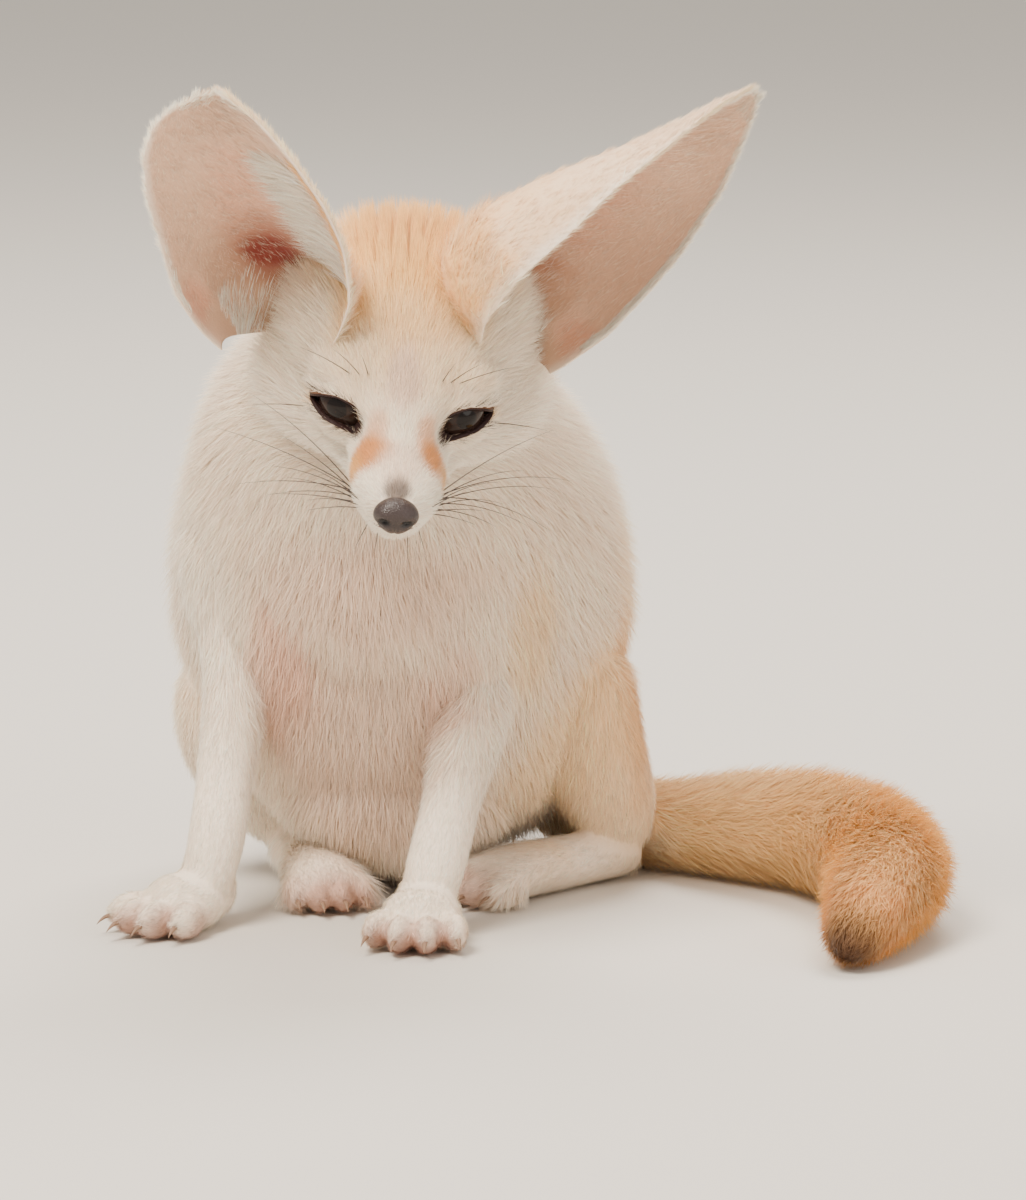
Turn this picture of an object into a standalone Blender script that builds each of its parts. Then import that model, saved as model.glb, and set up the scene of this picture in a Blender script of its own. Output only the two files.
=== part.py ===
"""A fennec fox sitting with its head lowered, life size, for Blender 4.5.

The tables are in millimetres and the meshes in metres, +Z up. The fox faces -Y, so its own left
is +X. The floor is Z = 0, and ORIGIN_SHIFT moves the finished model so that the middle of its
footprint is the origin.
"""
import math
import random

import bmesh
import bpy
import numpy as np
from mathutils import Matrix, Vector
from mathutils.bvhtree import BVHTree

MM = 0.001
GAP = 0.3
ORIGIN_SHIFT = (-5.4, 2.2, 0.0)

# The head's own frame: origin midway between the eyes, -Y to the nose, +Z to the crown
HEAD_AT = (-30.0, -62.0, 146.0)
HEAD_PITCH = math.radians(25)
HEAD_ROLL = math.radians(6)
HEAD = [
    (0, -36, -9, 4.5, 4.5),
    (0, -33, -9, 8.5, 7),
    (0, -27, -8.5, 12.0, 9.2),
    (0, -19, -7.5, 13.6, 11),
    (0, -11, -6, 14.4, 12.6),
    (0, -3, -3, 17, 15.5),
    (0, 6, 0, 24, 20),
    (0, 18, 4, 30, 26),
    (0, 30, 7, 33, 29),
    (0, 42, 7, 32, 27),
    (0, 52, 5, 25, 21),
    (0, 59, 4, 13, 11),
]
JAW = [
    (0, -31, -15.5, 5, 2.8),
    (0, -27, -16, 8, 4.2),
    (0, -18, -15.5, 10.5, 5.5),
    (0, -6, -14.5, 14, 7),
    (0, 8, -12, 20, 9),
    (0, 20, -8, 14, 8),
]
RUFF = [
    (0, -2, -9, 14, 8),
    (0, 5, -9.5, 25, 13),
    (0, 13, -9.5, 35, 17),
    (0, 23, -8, 39.5, 19),
    (0, 33, -5, 38, 19),
    (0, 44, -1, 28, 15),
]
BROW = (15, 7, 9, 11, 9, 7)
NOSE = (0, -36.5, -7.5, 5.7, 4.2, 4.6)
NOSTRIL = (2.6, -40.6, -7.8, 1.5, 1.8, 1.2)
EYE = (13.6, 3.6, 0.5)
EYE_LOOKS = (0.42, -0.86, 0.25)
EYE_RADIUS = 7.6
LID_THICKNESS = 1.4
EYE_OPENING = (8.2, 4.2)
EYE_TILT = math.radians(30)
MOUTH = [
    (0, -40.5, -13.6),
    (4, -38.2, -14.2),
    (8, -32.5, -14.6),
    (11.2, -24.5, -14.2),
    (14.4, -15, -12.8),
    (19, -7, -11),
]
MOUTH_GROOVE = 0.9

# Stations are x, y, z, half width and half depth, and each list is one lofted form
TORSO = [
    (-38, -16, 158, 22, 20),
    (-38, -10, 150, 37, 34),
    (-37, 3, 133, 49, 43),
    (-34, 16, 110, 59, 47),
    (-32, 27, 86, 62, 50),
    (-30, 38, 62, 60, 50),
    (-28, 52, 42, 53, 40),
    (-25, 66, 30, 38, 27),
    (-24, 74, 26, 18, 14),
]
CHEST = (-38, -12, 104, 35, 26, 40)
BELLY = (-33, 20, 38, 40, 32, 34)
RUMP = (-26, 62, 26, 44, 30, 27)
NECK = [
    (-30, -34, 162, 24, 22),
    (-31, -24, 158, 31, 29),
    (-33, -10, 150, 38, 35),
    (-35, 2, 138, 44, 40),
    (-36, 8, 130, 30, 28),
]
FORELEG = {
    "left": [
        (-10, 4, 116, 13, 14),
        (-7, 3, 104, 18, 19),
        (-4, 3, 92, 16, 17),
        (-4, 0, 80, 12.5, 13.5),
        (-9, -12, 62, 10.2, 10.6),
        (-16, -28, 38, 9.4, 9.6),
        (-21, -40, 20, 9.6, 9.6),
        (-24, -46, 10, 8.5, 8),
    ],
    "right": [
        (-72, 6, 114, 13, 14),
        (-76, 6, 102, 18, 18),
        (-79, 6, 90, 15, 16),
        (-78, 3, 78, 12.2, 13),
        (-78, -5, 62, 10, 10.4),
        (-80, -17, 42, 9.4, 9.6),
        (-82, -27, 25, 9.4, 9.6),
        (-85, -32, 12, 8.5, 8),
    ],
}
THIGH = {
    "left": [
        (2, 66, 48, 20, 24),
        (8, 56, 54, 24, 29),
        (13, 36, 60, 21, 25),
        (17, 17, 64, 16.5, 17),
        (18, 9, 64, 8, 9),
    ],
    "right": [
        (-58, 66, 48, 20, 24),
        (-65, 56, 52, 25, 28),
        (-75, 41, 55, 22, 26),
        (-81, 30, 57, 17.5, 19),
        (-83, 21, 58, 8, 9),
    ],
}
SHANK = {
    "left": [
        (18, 16, 70, 12, 12),
        (19, 16, 62, 16.5, 16),
        (22, 21, 43, 17, 16),
        (28, 29, 24, 14.5, 13),
        (32, 35, 12, 9.5, 8.5),
    ],
    "right": [
        (-81, 28, 66, 12, 12),
        (-81, 29, 57, 17, 16),
        (-79, 33, 42, 18, 17),
        (-71, 42, 24, 15.5, 13),
        (-65, 49, 12, 9.5, 8.5),
    ],
}
# The tail's stations are x, y, z and the half width out to the tips of the brush
TAIL = [
    (-14, 74, 27, 15.5),
    (6, 72, 22, 15.5),
    (26, 62, 17, 16.5),
    (44, 48, 17, 17.5),
    (64, 35, 19.5, 20.5),
    (84, 17, 22, 22.5),
    (98, -8, 22.5, 23.5),
    (103, -38, 22, 23),
    (98, -64, 18, 19),
    (92, -82, 12, 12.5),
    (89, -90, 8, 6),
]
# Which stretch of the tail's stations each of its nodes holds
TAIL_SPANS = {"tail_base": (1.25, 3.75), "tail_middle": (3.75, 6.25), "tail_end": (6.25, 10.0)}
TAIL_MARGIN = 2.0
THIGH_MARGIN = 7.0
SHANK_MARGIN = 4.0
FORELEG_MARGIN = 3.5
FORELEG_START = 14
NECK_ROOT_SHARE = 0.22
NECK_DRUM = 90
EAR_ROOT_SHARE = -0.12
# Voxel size and rounds of smoothing that fuse each form, and the triangles it is thinned to
HEAD_FUSE = (1.3, 5)
BODY_FUSE = (2.2, 7)
PAW_FUSE = (1.2, 3)
BODY_TRIANGLES = 1860
HEAD_TRIANGLES = 1400
PAW_TRIANGLES = 270
# How far the smooth core under the locks stands out from the torso and neck above, and what share
# of the tail's width it takes
TORSO_CORE = 2.0
NECK_CORE = 1.5
TAIL_CORE = (0.66, 0.62)
# Each band of locks: the form it follows, its first and last row and their number, how many locks a
# row has between which two angles, then a lock's length in stations, width and rise, and its seed
LOCK_BANDS = {
    "neck": [("neck", 1.3, 2.1, 2, 8, 175, 365, 1.5, 20, 7.0, 3)],
    "torso": [
        ("torso", 0.9, 5.3, 5, 9, 172, 368, 1.5, 23, 7.0, 1),
        ("torso", 1.6, 2.6, 2, 4, 52, 128, 1.4, 18, 5.5, 2),
    ],
    "head": [("head", 7.3, 8.6, 2, 4, 242, 298, 1.3, 8.5, 5.0, 7)],
    "tail_base": [("tail", 1.5, 2.3, 2, 7, -100, 100, 1.25, 12.5, 1.0, 4)],
    "tail_middle": [("tail", 3.8, 5.0, 3, 6, -105, 105, 1.15, 14.5, 1.0, 5)],
    "tail_end": [("tail", 6.3, 8.6, 4, 6, -110, 110, 1.25, 15, 1.0, 6)],
}
# Share of the lock's length and of its width there
LOCK_PROFILE = ((0.0, 0.75), (0.4, 1.0), (0.75, 0.7), (1.0, 0.0))
LOCK_THICKNESS = 3.2
LOCK_SUNK = 4.0
LOCK_CLEARANCE = 0.9
FLOOR_CLEARANCE = 0.5

FOREPAWS = {"left": ((-24, -46), math.radians(8)), "right": ((-87, -30), math.radians(40))}
HIND_FEET = {"left": ((33, 37), (-16, -10)), "right": ((-64, 50), (-50, -20))}
# A forepaw seen from its wrist: blobs as x, y, z and half sizes, then each toe's place and fan
PAW_PAD = (0, -6, 7.5, 12, 13, 9.5)
PAW_WRIST = (0, 3, 10, 9.5, 9, 10)
PAW_TOES = [(-10.2, -15, -0.28), (-3.6, -20, -0.08), (3.6, -20, 0.08), (10.2, -15, 0.28)]
PAW_TOE = (5.6, 4.6, 9.5, 6.4)
# A hind foot: share of its length, height, half width and half depth, then how far each toe stands
# to the side and back from the foot's end
SOLE = [
    (0.0, 9, 8, 8.5),
    (0.12, 9, 9.5, 9),
    (0.35, 8, 9, 8.5),
    (0.62, 8, 11, 8.5),
    (0.84, 7, 12.5, 7.5),
    (0.92, 6, 9, 5),
]
FOOT_TOES = [(-9.6, -11), (-3.3, -7), (3.3, -7), (9.6, -11)]
FOOT_TOE = (5.3, 4.3, 9, 6.0)

# Root in the head's frame, the tip's offset from it, the way the cup opens, how far each half
# of the cup curls round at the base, the middle and the tip, and how the axis bows at its middle
EARS = {
    "right": (
        (-32, 30, 6),
        (-16, -54, 67),
        (-0.32, -1.0, 0.0),
        (2.3, 1.05, 0.55),
        (-1, 0, 0),
    ),
    "left": (
        (23.3, 32.7, 9.9),
        (69.5, -17, 65.6),
        (0.55, -0.64, -0.43),
        (2.25, 1.94, 1.03),
        (-6.8, -0.3, -3.7),
    ),
}
# Ear outlines: share of the length, then how far the medial and the outer edge stand from the axis
EAR_OUTLINES = {
    "right": [
        (0.0, 17, 14),
        (0.12, 22, 18),
        (0.3, 28, 22),
        (0.45, 28.5, 23.5),
        (0.62, 25.5, 24.5),
        (0.78, 19, 23),
        (0.9, 12.5, 18),
        (0.97, 7, 10.5),
        (1.0, 2.5, 3.5),
    ],
    "left": [
        (0.0, 22, 14),
        (0.12, 33, 13.5),
        (0.3, 35, 16.5),
        (0.45, 29.5, 18.2),
        (0.62, 22, 19.2),
        (0.78, 14.5, 17.5),
        (0.9, 9.2, 10.5),
        (0.97, 5.8, 5),
        (1.0, 1.8, 2),
    ],
}
EAR_THICKNESS = 1.6

COLOURS = {
    "cream": (0.80, 0.68, 0.53, 1),
    "white": (0.88, 0.84, 0.79, 1),
    "fawn": (0.78, 0.58, 0.36, 1),
    "dark": (0.05, 0.04, 0.04, 1),
    "nose": (0.13, 0.09, 0.09, 1),
    "claw": (0.25, 0.19, 0.15, 1),
}


def clear_scene():
    for old in list(bpy.data.objects):
        bpy.data.objects.remove(old)


def make_material(name, roughness=0.9):
    material = bpy.data.materials.new(name)
    material.use_nodes = True
    shader = material.node_tree.nodes["Principled BSDF"]
    shader.inputs["Base Color"].default_value = COLOURS[name]
    shader.inputs["Roughness"].default_value = roughness
    return material


def new_object(name, bm, collection):
    """A mesh object from a bmesh, in triangles that point out."""
    bmesh.ops.triangulate(bm, faces=bm.faces)
    bmesh.ops.recalc_face_normals(bm, faces=bm.faces)
    mesh = bpy.data.meshes.new(name)
    bm.to_mesh(mesh)
    bm.free()
    made = bpy.data.objects.new(name, mesh)
    collection.objects.link(made)
    return made


def smooth_rows(rows, count):
    """Rows resampled on a Catmull-Rom spline, evenly in their own numbering."""
    rows = np.array(rows, float)
    padded = np.vstack([2 * rows[0] - rows[1], rows, 2 * rows[-1] - rows[-2]])
    places = np.linspace(0, len(rows) - 1, count)
    found = []
    for place in places:
        i = min(int(place), len(rows) - 2)
        t = place - i
        a, b, c, d = padded[i : i + 4]
        bend = (2 * a - 5 * b + 4 * c - d) * t**2 + (3 * b - a - 3 * c + d) * t**3
        found.append(0.5 * (2 * b + (c - a) * t + bend))
    return np.array(found)


def ring_axes(rows, lateral):
    """Each station's centre and the unit directions of its half width and half depth."""
    centres = [Vector(row[:3]) for row in rows]
    axes = []
    for centre, tangent in zip(centres, np.gradient(np.array(rows)[:, :3], axis=0)):
        along = Vector(tangent).normalized()
        side = Vector(lateral)
        side = (side - side.dot(along) * along).normalized()
        axes.append((centre, side, along.cross(side)))
    return axes


def loft(name, stations, collection, sides=20, rings=24, lateral=(1, 0, 0)):
    """A closed tube of elliptical rings along the stations, in millimetres."""
    rows = smooth_rows(stations, rings)
    rows[:, 3:5] = np.maximum(rows[:, 3:5], 1.0)
    bm = bmesh.new()
    loops = []
    for (centre, side, up), (wide, deep) in zip(ring_axes(rows, lateral), rows[:, 3:5]):
        turns = [2 * math.pi * k / sides for k in range(sides)]
        points = [centre + side * wide * math.cos(a) + up * deep * math.sin(a) for a in turns]
        loops.append([bm.verts.new(point * MM) for point in points])
    for near, far in zip(loops, loops[1:]):
        for k in range(sides):
            bm.faces.new((near[k], near[(k + 1) % sides], far[(k + 1) % sides], far[k]))
    bm.faces.new(loops[0])
    bm.faces.new(loops[-1])
    return new_object(name, bm, collection)


def ellipsoid(name, blob, collection, segments=24, turn=None):
    """A UV sphere stretched to (x, y, z, half sizes), in millimetres."""
    bm = bmesh.new()
    bmesh.ops.create_uvsphere(bm, u_segments=segments, v_segments=segments // 2, radius=1)
    shape = Matrix.Translation(Vector(blob[:3]) * MM) @ (turn or Matrix.Identity(4))
    bm.transform(shape @ Matrix.Diagonal((*(Vector(blob[3:6]) * MM), 1)))
    return new_object(name, bm, collection)


def evaluated_copy(source, name, collection):
    """The object's mesh as its modifiers leave it, as a new object in world space."""
    bpy.context.view_layer.update()
    graph = bpy.context.evaluated_depsgraph_get()
    mesh = bpy.data.meshes.new_from_object(source.evaluated_get(graph))
    mesh.transform(source.matrix_world)
    made = bpy.data.objects.new(name, mesh)
    collection.objects.link(made)
    return made


def remove(*objects):
    for old in objects:
        bpy.data.objects.remove(old)


def fuse(name, pieces, collection, voxel, smoothing, triangles):
    """The overlapping pieces as one smooth closed surface of about that many triangles."""
    bm = bmesh.new()
    for piece in pieces:
        bm.from_mesh(piece.data)
    rough = new_object(name + "_rough", bm, collection)
    remesh = rough.modifiers.new("one_surface", "REMESH")
    remesh.mode = "VOXEL"
    remesh.voxel_size = voxel * MM
    soften = rough.modifiers.new("soften", "SMOOTH")
    soften.factor = 0.5
    soften.iterations = smoothing
    dense = evaluated_copy(rough, name + "_dense", collection)
    thin = dense.modifiers.new("fewer", "DECIMATE")
    thin.ratio = min(1.0, triangles / (2 * len(dense.data.polygons)))
    made = evaluated_copy(dense, name, collection)
    remove(rough, dense, *pieces)
    return made


def swollen(source, by, collection):
    """A copy whose surface stands that many millimetres further out, as a cutter."""
    bm = bmesh.new()
    bm.from_mesh(source.data)
    bm.normal_update()
    moves = [vert.normal * by * MM for vert in bm.verts]
    for vert, move in zip(bm.verts, moves):
        vert.co += move
    return new_object(source.name + "_cutter", bm, collection)


def combine(target, other, operation, solver="EXACT"):
    """Boolean of two meshes, applied to the target, which keeps its largest closed surface."""
    step = target.modifiers.new("step", "BOOLEAN")
    step.operation = operation
    step.solver = solver
    step.object = other
    bpy.context.view_layer.update()
    graph = bpy.context.evaluated_depsgraph_get()
    mesh = bpy.data.meshes.new_from_object(target.evaluated_get(graph))
    target.modifiers.clear()
    target.data = mesh
    keep_largest(target)


def signed_volume(faces):
    total = 0.0
    for face in faces:
        corners = [vert.co for vert in face.verts]
        for b, c in zip(corners[1:], corners[2:]):
            total += corners[0].dot(b.cross(c))
    return total / 6


def keep_largest(target):
    """Leaves only the closed surface of the mesh that holds the most, in triangles."""
    bm = bmesh.new()
    bm.from_mesh(target.data)
    bmesh.ops.triangulate(bm, faces=bm.faces)
    left = set(bm.faces)
    islands = []
    while left:
        start = left.pop()
        island, edge = {start}, [start]
        while edge:
            near = {f for e in edge.pop().edges for f in e.link_faces if f in left}
            left -= near
            island |= near
            edge.extend(near)
        islands.append(island)
    if len(islands) > 1:
        best = max(islands, key=lambda island: abs(signed_volume(island)))
        extra = [face for island in islands if island is not best for face in island]
        bmesh.ops.delete(bm, geom=extra, context="FACES")
        loose = [vert for vert in bm.verts if not vert.link_faces]
        bmesh.ops.delete(bm, geom=loose, context="VERTS")
    bm.to_mesh(target.data)
    bm.free()


def head_frame():
    """Turns the head's own frame, in millimetres, into the model's."""
    turn = Matrix.Rotation(HEAD_PITCH, 4, "X") @ Matrix.Rotation(HEAD_ROLL, 4, "Y")
    return Matrix.Translation(HEAD_AT) @ turn


def in_head(source):
    """Moves an object that was made in the head's frame to its place."""
    frame = head_frame()
    frame.translation *= MM
    source.data.transform(frame)
    return source


def mirrored(blob, side):
    return (side * blob[0], *blob[1:])


def make_eye(side, helpers, radius, name):
    return in_head(ellipsoid(name, (*mirrored(EYE, side), radius, radius, radius), helpers, segments=14))


def eye_frame(side):
    """The eye's frame: +Z the way it looks, +X along the slit, up towards the temple."""
    look = Vector(mirrored(EYE_LOOKS, side)).normalized()
    across = Vector((side, 0, 0))
    across = (across - across.dot(look) * look).normalized()
    across = Matrix.Rotation(side * EYE_TILT, 3, look) @ across
    up = look.cross(across)
    turn = Matrix((across, up, look)).transposed().to_4x4()
    return Matrix.Translation(Vector(mirrored(EYE, side)) * MM) @ turn


def make_slit(side, helpers):
    """An almond-shaped bar along the gaze, which opens the lids."""
    half_length, half_height = EYE_OPENING
    bm = bmesh.new()
    rim = []
    for k in range(16):
        a = 2 * math.pi * k / 16
        rim.append((half_length * math.cos(a), half_height * math.sin(a) * abs(math.sin(a)) ** 0.35))
    near = [bm.verts.new(Vector((x, y, EYE_RADIUS * 0.35)) * MM) for x, y in rim]
    far = [bm.verts.new(Vector((x * 1.25, y * 1.3, EYE_RADIUS * 2.6)) * MM) for x, y in rim]
    for k in range(16):
        bm.faces.new((near[k], near[(k + 1) % 16], far[(k + 1) % 16], far[k]))
    bm.faces.new(near)
    bm.faces.new(far)
    bm.transform(eye_frame(side))
    return in_head(new_object("slit", bm, helpers))


def make_mouth_groove(head, helpers):
    """A thin rod laid on the muzzle along the line of the lips, to be cut from it."""
    half = smooth_rows([(*point, 1, 1) for point in MOUTH], 8)[:, :3]
    line = np.vstack([half[::-1] * (-1, 1, 1), half[1:]])
    frame = head_frame()
    skin = BVHTree.FromObject(head, bpy.context.evaluated_depsgraph_get())
    laid = [skin.find_nearest(frame @ Vector(point) * MM)[0] / MM for point in line]
    rows = [(*point, MOUTH_GROOVE, MOUTH_GROOVE) for point in laid]
    return loft("groove", rows, helpers, sides=4, rings=len(rows), lateral=(0, 0, 1))


def make_head(collection, helpers):
    pieces = [loft(name, rows, helpers) for name, rows in (("skull", HEAD), ("jaw", JAW), ("ruff", RUFF))]
    for side in (-1, 1):
        pieces.append(ellipsoid("brow", mirrored(BROW, side), helpers))
        lid = EYE_RADIUS + LID_THICKNESS
        pieces.append(ellipsoid("lid", (*mirrored(EYE, side), lid, lid, lid), helpers))
    head = fuse("head", [in_head(piece) for piece in pieces], collection, *HEAD_FUSE, HEAD_TRIANGLES)
    for side in (-1, 1):
        socket = make_eye(side, helpers, EYE_RADIUS + GAP, "socket")
        slit = make_slit(side, helpers)
        combine(socket, slit, "UNION")
        combine(head, socket, "DIFFERENCE")
        remove(socket, slit)
    wider = [*NOSE[:3], *(size + GAP for size in NOSE[3:])]
    nose_hole = in_head(ellipsoid("nose_hole", wider, helpers, 16))
    groove = make_mouth_groove(head, helpers)
    combine(head, nose_hole, "DIFFERENCE")
    combine(head, groove, "DIFFERENCE")
    remove(nose_hole, groove)
    return head


def make_nose(collection, helpers):
    nose = in_head(ellipsoid("nose", NOSE, collection, 16))
    for side in (-1, 1):
        nostril = in_head(ellipsoid("nostril", mirrored(NOSTRIL, side), helpers, 8))
        combine(nose, nostril, "DIFFERENCE")
        remove(nostril)
    return nose


def make_ear(side, head, collection, helpers):
    """A cup: arcs across the ear whose curl eases from the base to the tip, made thick."""
    root, tip, faces, curls, bow = EARS[side]
    base = head_frame() @ Vector(root)
    axis = Vector(tip)
    length = axis.length
    axis.normalize()
    opens = Vector(faces)
    opens = (opens - opens.dot(axis) * axis).normalized()
    outward = axis.cross(opens)
    outward *= 1 if (outward.x > 0) == (side == "left") else -1
    shares = np.array(EAR_OUTLINES[side])
    bm = bmesh.new()
    rows = []
    for share in np.linspace(EAR_ROOT_SHARE, 1.0, 12):
        medial, lateral = (float(np.interp(share, shares[:, 0], shares[:, column])) for column in (1, 2))
        curl = float(np.interp(share, (0, 0.5, 1), curls))
        centre = base + axis * length * share + Vector(bow) * max(0, 4 * share * (1 - share))
        row = []
        for u in np.linspace(-1, 1, 11):
            chord = medial if u < 0 else lateral
            radius = chord / math.sin(min(curl, math.pi / 2))
            depth = (medial + lateral) / 2 / math.sin(min(curl, math.pi / 2)) * (1 - math.cos(curl))
            sideways = radius * math.sin(u * curl)
            forward = depth * ((1 - math.cos(u * curl)) / (1 - math.cos(curl)) - 0.5)
            row.append(bm.verts.new((centre + outward * sideways + opens * forward) * MM))
        rows.append(row)
    for near, far in zip(rows, rows[1:]):
        for k in range(len(near) - 1):
            bm.faces.new((near[k], near[k + 1], far[k + 1], far[k]))
    sheet = new_object("ear_sheet", bm, helpers)
    wall = sheet.modifiers.new("wall", "SOLIDIFY")
    wall.thickness = EAR_THICKNESS * MM
    wall.offset = 0
    wall.use_even_offset = False
    ear = evaluated_copy(sheet, "ear_" + side, collection)
    cutter = swollen(head, GAP, helpers)
    combine(ear, cutter, "DIFFERENCE")
    remove(sheet, cutter)
    return ear


def make_paw(name, wrist, heading, collection, helpers):
    """A forepaw: a pad, a wrist and four furred toes in a fan."""
    turn = Matrix.Translation(Vector((*wrist, 0)) * MM) @ Matrix.Rotation(-heading, 4, "Z")
    pieces = [ellipsoid("pad", blob, helpers) for blob in (PAW_PAD, PAW_WRIST)]
    for across, ahead, fan in PAW_TOES:
        bend = Matrix.Rotation(fan, 4, "Z")
        pieces.append(ellipsoid("toe", (across, ahead, *PAW_TOE), helpers, turn=bend))
    for piece in pieces:
        piece.data.transform(turn)
    return fuse(name, pieces, collection, *PAW_FUSE, PAW_TRIANGLES)


def make_hind_foot(name, heel, toes, collection, helpers):
    """A long hind foot flat on the floor from the heel to four toes."""
    heel, toes = Vector((*heel, 0)), Vector((*toes, 0))
    ahead = (toes - heel).normalized()
    across = Vector((-ahead.y, ahead.x, 0))
    length = (toes - heel).length
    rows = [(*(heel + ahead * length * share)[:2], *sizes) for share, *sizes in SOLE]
    pieces = [loft("sole", rows, helpers, lateral=across)]
    turn = Matrix((across, -ahead, Vector((0, 0, 1)))).transposed().to_4x4()
    for off, reach in FOOT_TOES:
        centre = toes + across * off + ahead * reach
        pieces.append(ellipsoid("toe", (*centre[:2], *FOOT_TOE), helpers, turn=turn))
    return fuse(name, pieces, collection, *PAW_FUSE, PAW_TRIANGLES)


def grown(stations, by):
    return [(x, y, z, wide + by, deep + by) for x, y, z, wide, deep in stations]


def tail_core():
    """The tail without its locks, resting as low as the whole brush does."""
    tall, wide = TAIL_CORE
    return [(x, y, z - (1 - tall) * size, tall * size, wide * size) for x, y, z, size in TAIL]


def make_body(collection, helpers):
    """Torso, neck, legs and tail as one smooth surface, before it is parted."""
    pieces = [loft("trunk", grown(TORSO, TORSO_CORE), helpers, sides=28)]
    pieces.append(loft("nape", grown(NECK, NECK_CORE), helpers))
    pieces += [ellipsoid("swell", blob, helpers) for blob in (CHEST, BELLY, RUMP)]
    for side in ("left", "right"):
        pieces += [loft("leg", rows[side], helpers) for rows in (FORELEG, THIGH, SHANK)]
    pieces.append(loft("brush", tail_core(), helpers, rings=40, lateral=(0, 0, 1)))
    return fuse("torso", pieces, collection, *BODY_FUSE, BODY_TRIANGLES)


def part_off(body, name, make_cutter, collection, helpers):
    """Takes the share of the body that the cutter holds as its own node, with a thin gap."""
    taken = body.copy()
    taken.data = body.data.copy()
    taken.name = name
    collection.objects.link(taken)
    cutter, wider = make_cutter(0), make_cutter(GAP)
    combine(taken, cutter, "INTERSECT", "MANIFOLD")
    combine(body, wider, "DIFFERENCE", "MANIFOLD")
    remove(cutter, wider)
    return taken


def limb_cutter(stations, margin, extra, helpers, lateral=(1, 0, 0)):
    """A coarse tube round a limb, whose surface and ends stand out by the extra as well."""
    rows = grown(stations, margin)
    cutter = loft("limb_cutter", rows, helpers, sides=10, rings=len(rows), lateral=lateral)
    if not extra:
        return cutter
    wider = swollen(cutter, extra, helpers)
    remove(cutter)
    return wider


def leg_cutter(side, extra, helpers):
    cutter = limb_cutter(THIGH[side], THIGH_MARGIN, extra, helpers)
    shank = limb_cutter(SHANK[side], SHANK_MARGIN, extra, helpers)
    combine(cutter, shank, "UNION")
    remove(shank)
    return cutter


def tail_rows(span):
    """The tail's stations along one stretch of it, four to each of the table's steps."""
    rows = smooth_rows(tail_core(), 1 + 4 * (len(TAIL) - 1))
    first, last = (int(round(4 * end)) for end in span)
    return rows[first : last + 1]


def neck_cutter(extra, helpers):
    """A wide drum whose lower end crosses the root of the neck."""
    top, bottom = Vector(NECK[0][:3]), Vector(NECK[3][:3])
    along = (top - bottom).normalized()
    root = bottom.lerp(top, NECK_ROOT_SHARE) - along * extra
    rows = [(*(root + along * NECK_DRUM * share), NECK_DRUM, NECK_DRUM) for share in (0, 0.5, 1)]
    return loft("neck_cutter", rows, helpers, rings=3, sides=32)


def part_body(body, nodes, collection, helpers):
    for name in ("head", "forepaw_left", "forepaw_right", "hindfoot_left", "hindfoot_right"):
        cutter = swollen(nodes[name], GAP, helpers)
        combine(body, cutter, "DIFFERENCE", "MANIFOLD")
        remove(cutter)
    nodes["neck"] = part_off(body, "neck", lambda extra: neck_cutter(extra, helpers), collection, helpers)
    for name, span in reversed(TAIL_SPANS.items()):
        rows = tail_rows(span)
        drum = lambda extra: limb_cutter(rows, TAIL_MARGIN, extra, helpers, lateral=(0, 0, 1))
        nodes[name] = part_off(body, name, drum, collection, helpers)
    for side in ("left", "right"):
        name = "foreleg_" + side
        rows = smooth_rows(FORELEG[side], 1 + 4 * (len(FORELEG[side]) - 1))[FORELEG_START:]
        drum = lambda extra: limb_cutter(rows, FORELEG_MARGIN, extra, helpers)
        nodes[name] = part_off(body, name, drum, collection, helpers)
        name = "hindleg_" + side
        drum = lambda extra: leg_cutter(side, extra, helpers)
        nodes[name] = part_off(body, name, drum, collection, helpers)
    nodes["torso"] = body


def form_rows(form):
    """The stations, core size and side direction of the form that a band of locks follows."""
    if form == "tail":
        return tail_core(), (0, 0, 1)
    if form == "head":
        frame = head_frame()
        return [(*(frame @ Vector(row[:3])), *row[3:]) for row in HEAD], frame.to_3x3() @ Vector((1, 0, 0))
    if form == "neck":
        return grown(NECK, NECK_CORE), (1, 0, 0)
    return grown(TORSO, TORSO_CORE), (1, 0, 0)


def lock_mesh(axes, sizes, start, span, angle, width, rise, helpers):
    """One flat tapered lock: lens sections that leave the core and end in a point at the coat's tip."""
    rings = []
    for t, share in LOCK_PROFILE:
        place = min(start + t * span, len(axes) - 1.001)
        i = int(place)
        blend = place - i
        centre, side, up = (a.lerp(b, blend) for a, b in zip(axes[i], axes[i + 1]))
        wide, deep = (a + (b - a) * blend for a, b in zip(sizes[i], sizes[i + 1]))
        out = (side * math.cos(angle) * deep + up * math.sin(angle) * wide).normalized()
        across = out.cross(axes[i + 1][0] - axes[i][0]).normalized()
        lift = -LOCK_SUNK + (rise + LOCK_SUNK) * t**0.7
        point = centre + side * wide * math.cos(angle) + up * deep * math.sin(angle) + out * lift
        half, thick = across * width * share / 2, out * LOCK_THICKNESS * (0.4 + 0.6 * share) / 2
        rings.append([point] if share == 0 else [point - half, point + thick, point + half, point - thick])
    bm = bmesh.new()
    loops = [[bm.verts.new(point * MM) for point in ring] for ring in rings]
    bm.faces.new(loops[0])
    for near, far in zip(loops, loops[1:]):
        for k in range(4):
            ends = (far[(k + 1) % 4], far[k]) if len(far) > 1 else (far[0],)
            bm.faces.new((near[k], near[(k + 1) % 4], *ends))
    return new_object("lock", bm, helpers)


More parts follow.
